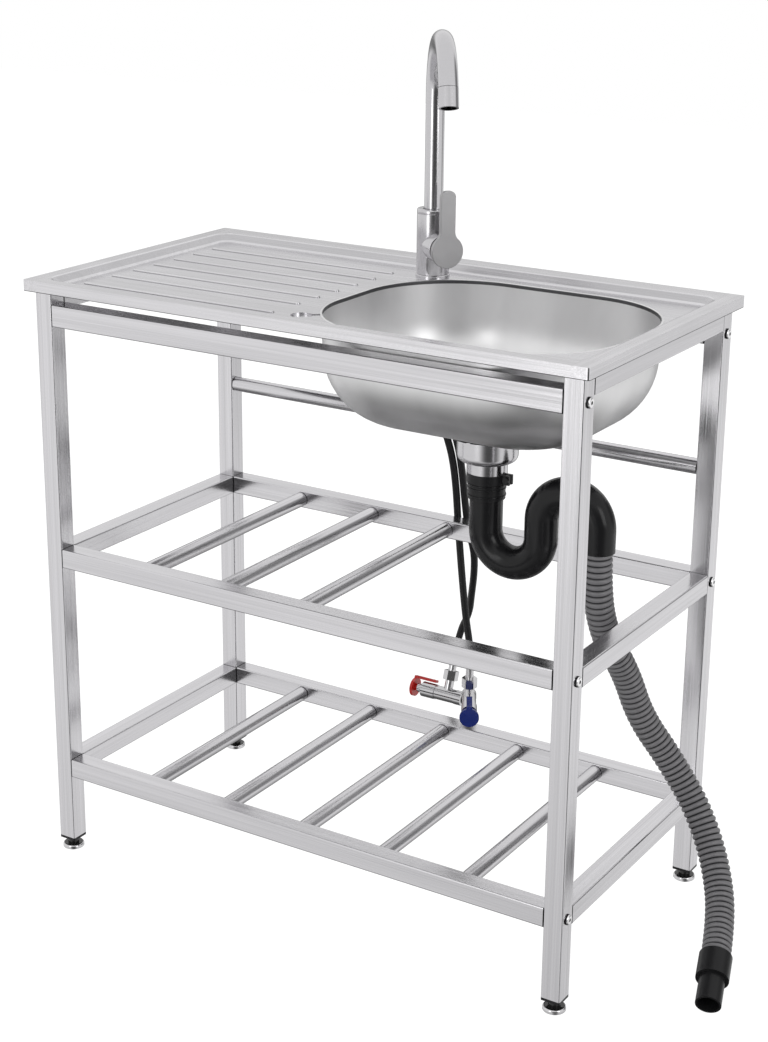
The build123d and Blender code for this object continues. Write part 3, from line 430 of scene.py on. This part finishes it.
@finish_once
def satin_bowl(settings):
    """Deep-drawn steel, satin with faint clouds, and a painted shade line just under its rolled
    edge, where it joins the sheet.
    """
    steel = settings.steel
    shader = Shader("satin_bowl")
    grain = shader.noise(shader.place(), 2200.0, 2.0)
    clouds = shader.between(shader.noise(shader.place((1, 1, 0.4)), 16.0, 3.0), 0.3, 0.7)
    color = shader.mix(clouds, (0.7, 0.698, 0.702), (0.78, 0.778, 0.782))
    z = shader.spot()[2]
    # Painted shade: a dark band on the wall just under the rolled top edge
    color = shader.mix(z.over(deck_z - 4.5) * z.under(deck_z - 0.2), color, (0.1, 0.1, 0.104))
    return shader.finish(Base_Color=color, Metallic=1.0,
                         Roughness=steel.sheet_roughness + 0.1 + clouds * 0.04 + grain * 0.02)


@finish_once
def plated(settings, kind):
    """Plated and polished fittings: nickel on the tap and strainer, bright metal elsewhere."""
    steel = settings.steel
    shader = Shader("plated_" + kind)
    streaks = shader.noise(shader.place((60, 60, 1400)), 1.0, 3.0)
    bases = {"chrome": (0.56, 0.555, 0.565), "feet": (0.6, 0.595, 0.605),
             "bolts": (0.85, 0.845, 0.855)}
    base = bases.get(kind, tuple(steel.tap_color))
    color = shader.mix(streaks, [c * 0.93 for c in base], [min(1, c * 1.05) for c in base])
    metal = 1.0
    if kind == "aerator":
        # Painted shade: the middle of the aerator's end is darkened for the shade inside its
        # opening
        _, away = shader.from_axis(spout_tip, spout_axis)
        color = shader.mix(away.under(9.7), color, (0.02, 0.02, 0.02))
    if kind == "bolts":
        # Painted shade round the base of each bolt's head and at the bottom of its socket
        color = shader.mix(abs(shader.spot()[0]).under(bolt_shade_x), color, painted_joint_shade)
    if kind == "feet":
        moulded_part = shader.spot()[2].over(foot_disc_top)
        color = shader.mix(moulded_part, color, (0.012, 0.012, 0.012))
        metal = 1 - moulded_part
    rough = 0.15 if kind in ("nickel", "aerator") else 0.08
    return shader.finish(Base_Color=color, Metallic=metal,
                         Roughness=rough - 0.02 + streaks * 0.06)


@finish_once
def turned_nickel(settings):
    """The tap's body: brushed upright, with fine turning marks round the lever's housing."""
    steel = settings.steel
    shader = Shader("turned_nickel")
    along, _ = shader.from_axis((tap_x, tap_y, lever_z), lever_out)
    upright = shader.noise(shader.place((900, 900, 8)), 1.0, 3.0)
    rings = shader.node("ShaderNodeMath", {"operation": "SINE"}, {0: along * 3.6})
    on_housing = along.over(20.5)
    marks = upright * (1 - on_housing) + (rings * 0.5 + 0.5) * on_housing
    color = shader.mix(marks, [c * 0.9 for c in steel.tap_color],
                       [min(1, c * 1.08) for c in steel.tap_color])
    return shader.finish(Base_Color=color, Metallic=1.0, Roughness=0.15 + marks * 0.07,
                         Normal=shader.bump(marks, 0.00008, 0.5))


@finish_once
def ribbed_plastic(settings):
    """Grey hose plastic, with painted shade darkening the grooves between the ribs."""
    base = settings.plastic.hose_grey
    shader = Shader("ribbed_plastic")
    crest = shader.node("ShaderNodeAttribute", {"attribute_name": "crest"}, output="Fac")
    wear = shader.noise(shader.place(), 60.0, 3.0)
    worn = shader.mix(wear, [c * 0.88 for c in base], [c * 1.12 for c in base])
    # Painted shade: near-black in the valleys, the hose's grey only on the crests
    color = shader.mix(shader.between(crest, 0.1, 0.85), (0.018, 0.018, 0.02), worn)
    return shader.finish(Base_Color=color, Roughness=0.36 + wear * 0.1,
                         Normal=shader.bump(shader.noise(shader.place(), 1500.0), 0.00004, 0.4))


@finish_once
def moulded(settings, kind):
    """Moulded plastic and rubber: a fine mould texture and slight dulling."""
    plastic = settings.plastic
    looks = {"gloss_black": (plastic.black, 0.2), "matte_black": (plastic.black, 0.32),
             "rubber_black": ((0.016, 0.016, 0.017), 0.38), "white": ((0.75, 0.75, 0.73), 0.4),
             "red": (plastic.hot_red, 0.25), "blue": (plastic.cold_blue, 0.25),
             "brass": ((0.6, 0.42, 0.18), 0.3), "lever": ((0.38, 0.376, 0.382), 0.42)}
    base, dullness = looks[kind]
    shader = Shader("moulded_" + kind)
    grain = shader.noise(shader.place(), 900.0, 2.0)
    wear = shader.noise(shader.place(), 26.0, 3.0)
    color = shader.mix(wear, [c * 0.85 for c in base], [min(1, c * 1.15) for c in base])
    return shader.finish(Base_Color=color, Roughness=dullness - 0.04 + wear * 0.08,
                         Metallic=1.0 if kind in ("brass", "lever") else 0.0,
                         Specular_IOR_Level=0.22 if "black" in kind else 0.5,
                         Normal=shader.bump(grain, 0.00004, 0.5))


# ======================= Mesh helpers =======================


def arc_points(center, radius, start, sweep, steps):
    """Points on an arc in a profile's own plane."""
    return [(center[0] + radius * cos(start + sweep * k / steps),
             center[1] + radius * sin(start + sweep * k / steps)) for k in range(steps + 1)]


def rounded(corners, steps=5):
    """Outline through (radius, height, rounding) corners, with each corner rounded."""
    points = []
    spots = [Vector(c[:2]) for c in corners]
    for k, corner in enumerate(corners):
        size = corner[2] if len(corner) > 2 else 0
        if size == 0 or k in (0, len(corners) - 1):
            points.append(tuple(spots[k]))
            continue
        back = (spots[k - 1] - spots[k]).normalized()
        ahead = (spots[k + 1] - spots[k]).normalized()
        half = back.angle(ahead) / 2
        center = spots[k] + (back + ahead).normalized() * size / sin(half)
        start = spots[k] + back * size / tan(half) - center
        end = spots[k] + ahead * size / tan(half) - center
        turn = atan2(start.x * end.y - start.y * end.x, start.dot(end))
        points += arc_points(center, size, atan2(start.y, start.x), turn, steps)
    return points


def finish_mesh(bm, name, body, material):
    """Turn a bmesh into a named piece that rides on a body."""
    bmesh.ops.recalc_face_normals(bm, faces=bm.faces)
    mesh = bpy.data.meshes.new(name)
    bm.to_mesh(mesh)
    bm.free()
    for polygon in mesh.polygons:
        polygon.use_smooth = True
    piece = bpy.data.objects.new(name, mesh)
    bpy.context.scene.collection.objects.link(piece)
    mesh.materials.append(material)
    mesh.set_sharp_from_angle(angle=radians(38))
    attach(piece, body)
    return piece


def spin_profile(bm, points, place, segments, closed):
    """Spin an outline of (radius, height) points round the place's own Z axis."""
    verts = [bm.verts.new((r, 0, z)) for r, z in points]
    edges = [bm.edges.new(pair) for pair in zip(verts, verts[1:])]
    if closed:
        edges.append(bm.edges.new((verts[-1], verts[0])))
    bmesh.ops.spin(bm, geom=verts + edges, cent=(0, 0, 0), axis=(0, 0, 1), dvec=(0, 0, 0),
                   angle=2 * pi, steps=segments, use_merge=True, use_duplicate=False)
    bmesh.ops.remove_doubles(bm, verts=bm.verts, dist=1e-7)
    bmesh.ops.transform(bm, matrix=place, verts=[v for v in bm.verts if not v.tag])
    for vert in bm.verts:
        vert.tag = True


def add_turned(bm, outline, place, segments=64):
    """Add a form turned on the place's Z axis, from (radius, height, rounding) corners in mm."""
    points = rounded([tuple(v * mm for v in corner) for corner in outline])
    spin_profile(bm, points, place, segments, closed=outline[0][0] > 0 or outline[-1][0] > 0)


def axis_place(origin, direction):
    """Matrix whose Z axis points along a direction that isn't upright, at a point in mm."""
    z = Vector(direction).normalized()
    x = (Vector((0, 0, 1)) - z.z * z).normalized()
    turn = Matrix((x, z.cross(x), z)).transposed().to_4x4()
    return Matrix.Translation(Vector(origin) * mm) @ turn


def route_curve(name, route):
    """One open smooth curve with the route's points as its control points."""
    curve = bpy.data.curves.new(name, "CURVE")
    curve.dimensions = "3D"
    spline = curve.splines.new("NURBS")
    spline.points.add(len(route) - 1)
    for point, spot in zip(spline.points, route):
        point.co = (*[c * mm for c in spot], 1)
    spline.order_u = 3
    spline.use_endpoint_u = True
    spline.resolution_u = 24
    piece = bpy.data.objects.new(name, curve)
    bpy.context.scene.collection.objects.link(piece)
    return piece


def read_route(route):
    """Points along the route's smooth curve."""
    guide = route_curve("route_guide", route)
    mesh = bpy.data.meshes.new_from_object(guide)
    points = [v.co.copy() for v in mesh.vertices]
    curve = guide.data
    bpy.data.objects.remove(guide)
    bpy.data.curves.remove(curve)
    bpy.data.meshes.remove(mesh)
    return points


class Walk:
    """Places along a run of points, by distance, with a frame that doesn't twist."""

    def __init__(self, points, across):
        self.points = points
        self.distances = [0.0]
        for a, b in zip(points, points[1:]):
            self.distances.append(self.distances[-1] + (b - a).length)
        self.length = self.distances[-1]
        self.across = Vector(across)

    def at(self, distance):
        distance = max(0.0, min(self.length, distance))
        k = 0
        while k < len(self.points) - 2 and self.distances[k + 1] < distance:
            k += 1
        span = self.distances[k + 1] - self.distances[k]
        share = (distance - self.distances[k]) / span
        spot = self.points[k].lerp(self.points[k + 1], share)
        before = self.tangent(k)
        after = self.tangent(k + 1)
        z = before.lerp(after, share).normalized()
        x = (self.across - self.across.dot(z) * z).normalized()
        turn = Matrix((x, z.cross(x), z)).transposed().to_4x4()
        return Matrix.Translation(spot) @ turn

    def tangent(self, k):
        low, high = max(0, k - 1), min(len(self.points) - 1, k + 1)
        return (self.points[high] - self.points[low]).normalized()


def skin(bm, rings, rib_shade_heights=None):
    """Join rings of equally many points, one extrusion after another."""
    # Each ring's height on its rib is kept for the painted shade in the hose's grooves
    layer = bm.verts.layers.float.new("crest") if rib_shade_heights else None
    ring = [bm.verts.new(spot) for spot in rings[0]]
    for pair in zip(ring, ring[1:] + ring[:1]):
        bm.edges.new(pair)
    for k, spots in enumerate(rings):
        if k > 0:
            edges = [bm.edges.get(pair) for pair in zip(ring, ring[1:] + ring[:1])]
            made = bmesh.ops.extrude_edge_only(bm, edges=edges)["geom"]
            fresh = {v for v in made if isinstance(v, bmesh.types.BMVert)}
            ring = [next(e.other_vert(v) for e in v.link_edges if e.other_vert(v) in fresh)
                    for v in ring]
            for vert, spot in zip(ring, spots):
                vert.co = spot
        if layer:
            for vert in ring:
                vert[layer] = rib_shade_heights[k]


def round_ring(place, radius, segments=40):
    return [place @ Vector((radius * cos(2 * pi * k / segments),
                            radius * sin(2 * pi * k / segments), 0)) for k in range(segments)]


# ======================= Stage =======================


def camera_turn(stage):
    """The camera's axes from its azimuth, elevation and roll."""
    azimuth, elevation, roll = stage.camera_azimuth, stage.camera_elevation, stage.camera_roll
    back = Vector((sin(azimuth) * cos(elevation), -cos(azimuth) * cos(elevation),
                   sin(elevation)))
    level = (-back).cross(Vector((0, 0, 1))).normalized()
    upright = level.cross(-back)
    right = level * cos(roll) + upright * sin(roll)
    up = upright * cos(roll) - level * sin(roll)
    return Matrix((right, up, back)).transposed()


def add_camera(stage):
    data = bpy.data.cameras.new("camera")
    camera = bpy.data.objects.new("camera", data)
    bpy.context.scene.collection.objects.link(camera)
    camera.matrix_world = Matrix.Translation(stage.camera_place) @ camera_turn(stage).to_4x4()
    data.lens = stage.lens
    data.sensor_width = 36.0
    data.shift_x = stage.shift_across
    data.shift_y = stage.shift_up
    data.clip_start = 0.05
    data.clip_end = 60.0
    bpy.context.scene.camera = camera


def add_lamp(name, place, target, size, power):
    data = bpy.data.lights.new(name, "AREA")
    data.shape = "RECTANGLE"
    data.size, data.size_y = size
    data.energy = power
    lamp = bpy.data.objects.new(name, data)
    bpy.context.scene.collection.objects.link(lamp)
    lamp.location = place
    lamp.rotation_euler = (Vector(target) - Vector(place)).to_track_quat("-Z", "Y").to_euler()
    return lamp


def floor_finish(stage):
    """White to the camera, with a share of a pale floor's shadow; metal sees past it."""
    shader = Shader("studio_floor")
    camera = shader.node("ShaderNodeLightPath", output="Is Camera Ray")
    glossy = shader.node("ShaderNodeLightPath", output="Is Glossy Ray")
    matt = shader.node("ShaderNodeBsdfDiffuse", inputs={"Color": stage.floor_color})
    white = shader.node("ShaderNodeEmission", inputs={"Color": (1, 1, 1), "Strength": 1.2})
    clear = shader.node("ShaderNodeBsdfTransparent")
    lit = shader.node("ShaderNodeMixShader", inputs={0: camera * (1 - stage.shadow), 1: matt,
                                                     2: white})
    return shader.close(shader.node("ShaderNodeMixShader", inputs={0: glossy, 1: lit, 2: clear}))


# Dark screens of the studio: the direction of each, its half width in degrees, and how dark
# it is
dark_screens = ((-0.506, 0.805, -0.31, 24, 0.8), (0.58, 0.8, 0.15, 18, 0.72),
                (0.61, -0.78, -0.12, 27, 0.9))


def add_world(stage):
    """White to the camera, a pale studio with dark screens to the metal, even light to the rest."""
    world = bpy.data.worlds.new("studio")
    shader = Shader("studio", world)
    camera = shader.node("ShaderNodeLightPath", output="Is Camera Ray")
    through = shader.node("ShaderNodeLightPath", output="Is Transmission Ray")
    glossy = shader.node("ShaderNodeLightPath", output="Is Glossy Ray")
    toward = shader.node("ShaderNodeTexCoord", output="Generated")
    studio = None
    for x, y, z, half, depth in dark_screens:
        axis = Vector((x, y, z)).normalized()
        facing = shader.node("ShaderNodeVectorMath", {"operation": "DOT_PRODUCT"},
                             {0: toward, 1: axis}, output="Value")
        shade = 1 - depth * shader.between(facing, cos(radians(half * 1.6)),
                                           cos(radians(half * 0.5)))
        studio = shade if studio is None else studio * shade
    height = shader.node("ShaderNodeVectorMath", {"operation": "DOT_PRODUCT"},
                         {0: toward, 1: (0, 0, 1)}, output="Value")
    studio = studio * shader.between(height, -0.92, -0.35, 0.1, 1.0)
    seen = camera.math("MAXIMUM", through)
    unseen = glossy * studio + (1 - glossy) * stage.room_light
    strength = seen + (1 - seen) * unseen
    shader.close(shader.node("ShaderNodeBackground", inputs={"Color": (1, 1, 1),
                                                             "Strength": strength}),
                 "ShaderNodeOutputWorld")
    bpy.context.scene.world = world


def add_floor(stage):
    bm = bmesh.new()
    bmesh.ops.create_grid(bm, x_segments=1, y_segments=1, size=stage.floor_size / 2)
    mesh = bpy.data.meshes.new("floor")
    bm.to_mesh(mesh)
    bm.free()
    floor = bpy.data.objects.new("floor", mesh)
    bpy.context.scene.collection.objects.link(floor)
    mesh.materials.append(floor_finish(stage))


class SINK_OT_stage(bpy.types.Operator):
    """Set the floor, the soft lights and the camera"""

    bl_idname = "sink.stage"
    bl_label = "Stage"

    def execute(self, context):
        stage = context.scene.sink_unit.stage
        add_camera(stage)
        add_floor(stage)
        add_world(stage)
        key = add_lamp("key", (-1.2, 1.0, 2.6), (0, 0, 0.6), (2.0, 2.0), stage.key_light)
        key.visible_glossy = False
        add_lamp("right", (2.6, -0.9, 1.3), (0, 0, 0.5), (0.9, 1.6), stage.right_light)
        add_lamp("left", (-0.35, -2.8, 1.0), (0, 0, 0.6), (0.75, 2.2), stage.left_light)
        context.scene.view_settings.view_transform = "Standard"
        return {"FINISHED"}


# ======================= Pieces =======================


def dress(names, material):
    """Give carried-over nodes their finish."""
    for name in names:
        mesh = nodes[name].data
        mesh.materials.clear()
        mesh.materials.append(material)


class SINK_OT_worktop(bpy.types.Operator):
    """Finish the pressed worktop and its bowl"""

    bl_idname = "sink.worktop"
    bl_label = "Worktop and bowl"

    def execute(self, context):
        settings = context.scene.sink_unit
        dress(["worktop"], worktop_sheet(settings))
        dress(["strainer_body", "strainer_basket"], plated(settings, "nickel"))
        dress(["strainer_gasket"], moulded(settings, "rubber_black"))
        dress(["strainer_lock_nut", "trap_collar"], moulded(settings, "matte_black"))
        add_bowl(settings)
        return {"FINISHED"}


def bowl_ring(inset, height):
    """The bowl's rounded outline, moved inward, at a height; all in millimetres."""
    across, deep, corner = (size - inset for size in (bowl_half_width, bowl_half_length,
                                                      bowl_corner))
    spots = []
    for turn, (sx, sy) in enumerate(((1, 1), (-1, 1), (-1, -1), (1, -1))):
        center = (bowl_x + sx * (across - corner), bowl_y + sy * (deep - corner))
        spots += [Vector((u * mm, v * mm, height * mm))
                  for u, v in arc_points(center, corner, turn * pi / 2, pi / 2, 16)]
    return spots


def seat_ring(radius, height):
    """A ring round the drain's axis whose points face the bowl outline's points."""
    axis = Vector((drain_x, drain_y, 0)) * mm
    spots = []
    for spot in bowl_ring(bottom_inset, height):
        out = Vector((spot.x - axis.x, spot.y - axis.y, 0)).normalized()
        spots.append(axis + out * radius * mm + Vector((0, 0, height * mm)))
    return spots


def add_bowl(settings):
    """Deep-drawn bowl: rolled top edge, drafted wall, large bottom rounding, sunk drain seat."""
    draft, steps, outer_round = radians(bowl_draft), 14, bottom_round + 1
    edge = [(-2.6, 774.9), (-2.3, 775.25), (-1.5, 775.5), (-0.6, 775.45), (0.0, 775.1),
            (0.3, 774.4), (0.35, 773.6), (0.35, 772.0)]
    wall = [((773.8 - z) * tan(draft), z) for z in (762, 745, 727)]
    turn = [draft + (pi / 2 - draft) * k / steps for k in range(1, steps + 1)]
    inner, outer = ([(bottom_inset - radius * cos(a), bottom_round_z - radius * sin(a))
                     for a in turn] for radius in (bottom_round, outer_round))
    rings = [bowl_ring(*at) for at in edge + wall + inner]
    rings += [seat_ring(r, z) for r, z in ((61, 644), (59.4, 643.6), (59, 642.6), (59, 640),
                                           (42.3, 640), (42.3, 639), (60, 639), (60, 643))]
    back = [(0.6, 727), (-1, 773.7), (-2.6, 773.8), (-2.6, 774.9)]
    rings += [bowl_ring(*at) for at in outer[::-1] + back]
    bm = bmesh.new()
    skin(bm, rings)
    bmesh.ops.remove_doubles(bm, verts=bm.verts, dist=1e-6)
    bowl = finish_mesh(bm, "drawn_bowl", "unit", satin_bowl(settings))
    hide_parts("bowl")


class SINK_OT_stand(bpy.types.Operator):
    """Finish the tubes, bars, bolts, caps and feet of the stand"""

    bl_idname = "sink.stand"
    bl_label = "Stand"

    def execute(self, context):
        settings = context.scene.sink_unit
        dress([n for n in nodes if n.endswith("_leg")], brushed_tube(settings, "along_z"))
        dress([n for n in nodes if n.endswith(("_front_rail", "_rear_rail")) or n == "towel_bar"],
              brushed_tube(settings, "along_x"))
        dress([n for n in nodes if n.endswith("_side_rail") or "_shelf_bar_" in n],
              brushed_tube(settings, "along_y"))
        dress(["leg_end_caps", "rail_end_plugs"], moulded(settings, "matte_black"))
        dress(["frame_bolts"], plated(settings, "bolts"))
        dress([n for n in nodes if n.endswith("_levelling_foot")], plated(settings, "feet"))
        return {"FINISHED"}


class SINK_OT_tap(bpy.types.Operator):
    """Finish the mixer tap"""

    bl_idname = "sink.tap"
    bl_label = "Mixer tap"

    def execute(self, context):
        settings = context.scene.sink_unit
        dress(["faucet_base_ring", "spout", "cartridge_nut"], plated(settings, "nickel"))
        dress(["aerator"], plated(settings, "aerator"))
        dress(["faucet_handle"], moulded(settings, "lever"))
        dress(["cartridge"], moulded(settings, "white"))
        dress(["cartridge_stem", "faucet_mounting_nut"], moulded(settings, "brass"))
        dress(["faucet_washer"], moulded(settings, "rubber_black"))
        add_tap_body(settings)
        add_aerator_seal(settings)
        return {"FINISHED"}


def add_tap_body(settings):
    """Turned body with its swivel ring, its groove round the riser and the lever's housing."""
    bm = bmesh.new()
    add_turned(bm, [(0, 735), (14, 735), (14, 778.5), (21, 778.5, 0.6), (21, 856.2, 0.2),
                    (20.2, 856.3), (20.2, 856.9), (21, 857, 0.2), (21, body_top, 1.8),
                    (13.3, body_top, 0.4), (13.3, 857.5), (0, 857.5)],
               Matrix.Translation((tap_x * mm, tap_y * mm, 0)), 96)
    add_turned(bm, [(15.3, 7), (19, 7), (19, 36, 0.9), (15.3, 36, 0.3)],
               axis_place((tap_x, tap_y, lever_z), lever_out), 96)
    body = finish_mesh(bm, "turned_tap_body", "unit", turned_nickel(settings))
    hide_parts("faucet_body")


def add_aerator_seal(settings):
    """Rubber ring between the spout's tip and its aerator."""
    bm = bmesh.new()
    add_turned(bm, [(11.4, -0.3), (12.15, -0.3, 0.2), (12.25, 0.6, 0.2), (11.4, 0.6)],
               axis_place(spout_tip, spout_axis))
    finish_mesh(bm, "aerator_seal", "spout", moulded(settings, "rubber_black"))


class SINK_OT_waste(bpy.types.Operator):
    """Lay the drain hose and finish the trap"""

    bl_idname = "sink.waste"
    bl_label = "Trap and drain hose"

    def execute(self, context):
        settings = context.scene.sink_unit
        dress(["drain_trap"], moulded(settings, "gloss_black"))
        dress(["hose_connector"], moulded(settings, "matte_black"))
        add_drain_hose(settings)
        add_collar_rings(settings)
        return {"FINISHED"}


def add_collar_rings(settings):
    """Grip rings moulded round the trap's collar."""
    bm = bmesh.new()
    for height in (565.2, 560.4, 551.5):
        add_turned(bm, [(22.4, height), (23.9, height, 0.6), (23.9, height + 2.4, 0.6),
                        (22.4, height + 2.4)],
                   Matrix.Translation((drain_x * mm, drain_y * mm, 0)))
    finish_mesh(bm, "collar_grip_rings", "unit",
                moulded(settings, "gloss_black"))


def add_drain_hose(settings):
    """Ribbed hose: rounded ribs along the route's own smooth curve."""
    sizes = settings.hoses
    points = read_route(drain_route)
    walk = Walk(points, (1, 0, 0))
    cuff = 14 * mm
    count = int((walk.length - 2 * cuff) / sizes.rib_pitch)
    start = (walk.length - count * sizes.rib_pitch) / 2
    crest, valley = sizes.outer / 2, sizes.valley / 2
    profile = [(share, sin(pi * share) ** 0.75)
               for share in (0.0, 0.05, 0.12, 0.22, 0.34, 0.5, 0.66, 0.78, 0.88, 0.95)]
    cuff_radius = crest - 1.2 * mm
    stations = [(0, cuff_radius), (start - 1 * mm, cuff_radius)]
    for k in range(count):
        for share, rise in profile:
            stations.append((start + (k + share) * sizes.rib_pitch,
                             valley + (crest - valley) * rise))
    stations += [(walk.length - start + 1 * mm, cuff_radius), (walk.length, cuff_radius),
                 (walk.length, sizes.bore / 2)]
    steps = 60
    stations += [(walk.length * (1 - k / steps), sizes.bore / 2) for k in range(1, steps + 1)]
    stations.append(stations[0])
    # How far up its rib each ring stands, for the painted shade in the grooves
    rib_shade_heights = [min(1.0, max(0.0, (radius - valley) / (crest - valley))) for _, radius in stations]
    bm = bmesh.new()
    skin(bm, [round_ring(walk.at(distance), radius) for distance, radius in stations], rib_shade_heights)
    bmesh.ops.remove_doubles(bm, verts=bm.verts, dist=1e-6)
    hose = finish_mesh(bm, "ribbed_drain_hose", "unit", ribbed_plastic(settings))
    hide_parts("drain_hose")


class SINK_OT_supply(bpy.types.Operator):
    """Lay the two supply hoses and finish the stop valves"""

    bl_idname = "sink.supply"
    bl_label = "Supply hoses and valves"

    def execute(self, context):
        settings = context.scene.sink_unit
        dress(["hose_ferrules", "hose_nuts", "hot_valve_body", "cold_valve_body"],
              plated(settings, "chrome"))
        dress(["hot_valve_handle"], moulded(settings, "red"))
        dress(["cold_valve_handle"], moulded(settings, "blue"))
        for side, route in (("hot", hot_route), ("cold", cold_route)):
            add_supply_hose(settings, side, route)
        return {"FINISHED"}


def add_supply_hose(settings, side, route):
    points = read_route(route)
    piece = route_curve(f"{side}_supply_line", route)
    piece.data.bevel_depth = settings.hoses.supply / 2
    piece.data.bevel_resolution = 6
    piece.data.materials.append(moulded(settings, "rubber_black"))
    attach(piece, "unit")
    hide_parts(f"supply_hose_{side}")


# ======================= Panel and registration =======================

operators = (SINK_OT_stage, SINK_OT_worktop, SINK_OT_stand, SINK_OT_tap, SINK_OT_waste,
             SINK_OT_supply)


class SINK_PT_unit(bpy.types.Panel):
    """Buttons for each piece of the sink unit"""

    bl_idname = "SINK_PT_unit"
    bl_label = "Sink Unit"
    bl_space_type = "VIEW_3D"
    bl_region_type = "UI"
    bl_category = "Sink Unit"

    def draw(self, context):
        for operator in operators:
            self.layout.operator(operator.bl_idname)


classes = (StageSettings, SteelSettings, PlasticSettings, HoseSettings, SinkUnitSettings,
           *operators, SINK_PT_unit)


def register():
    for cls in classes:
        bpy.utils.register_class(cls)
    bpy.types.Scene.sink_unit = bpy.props.PointerProperty(type=SinkUnitSettings)


def unregister():
    del bpy.types.Scene.sink_unit
    for cls in reversed(classes):
        bpy.utils.unregister_class(cls)


def main():
    register()
    for operator in operators:
        group, name = operator.bl_idname.split(".")
        getattr(getattr(bpy.ops, group), name)()


if __name__ == "__main__":
    main()
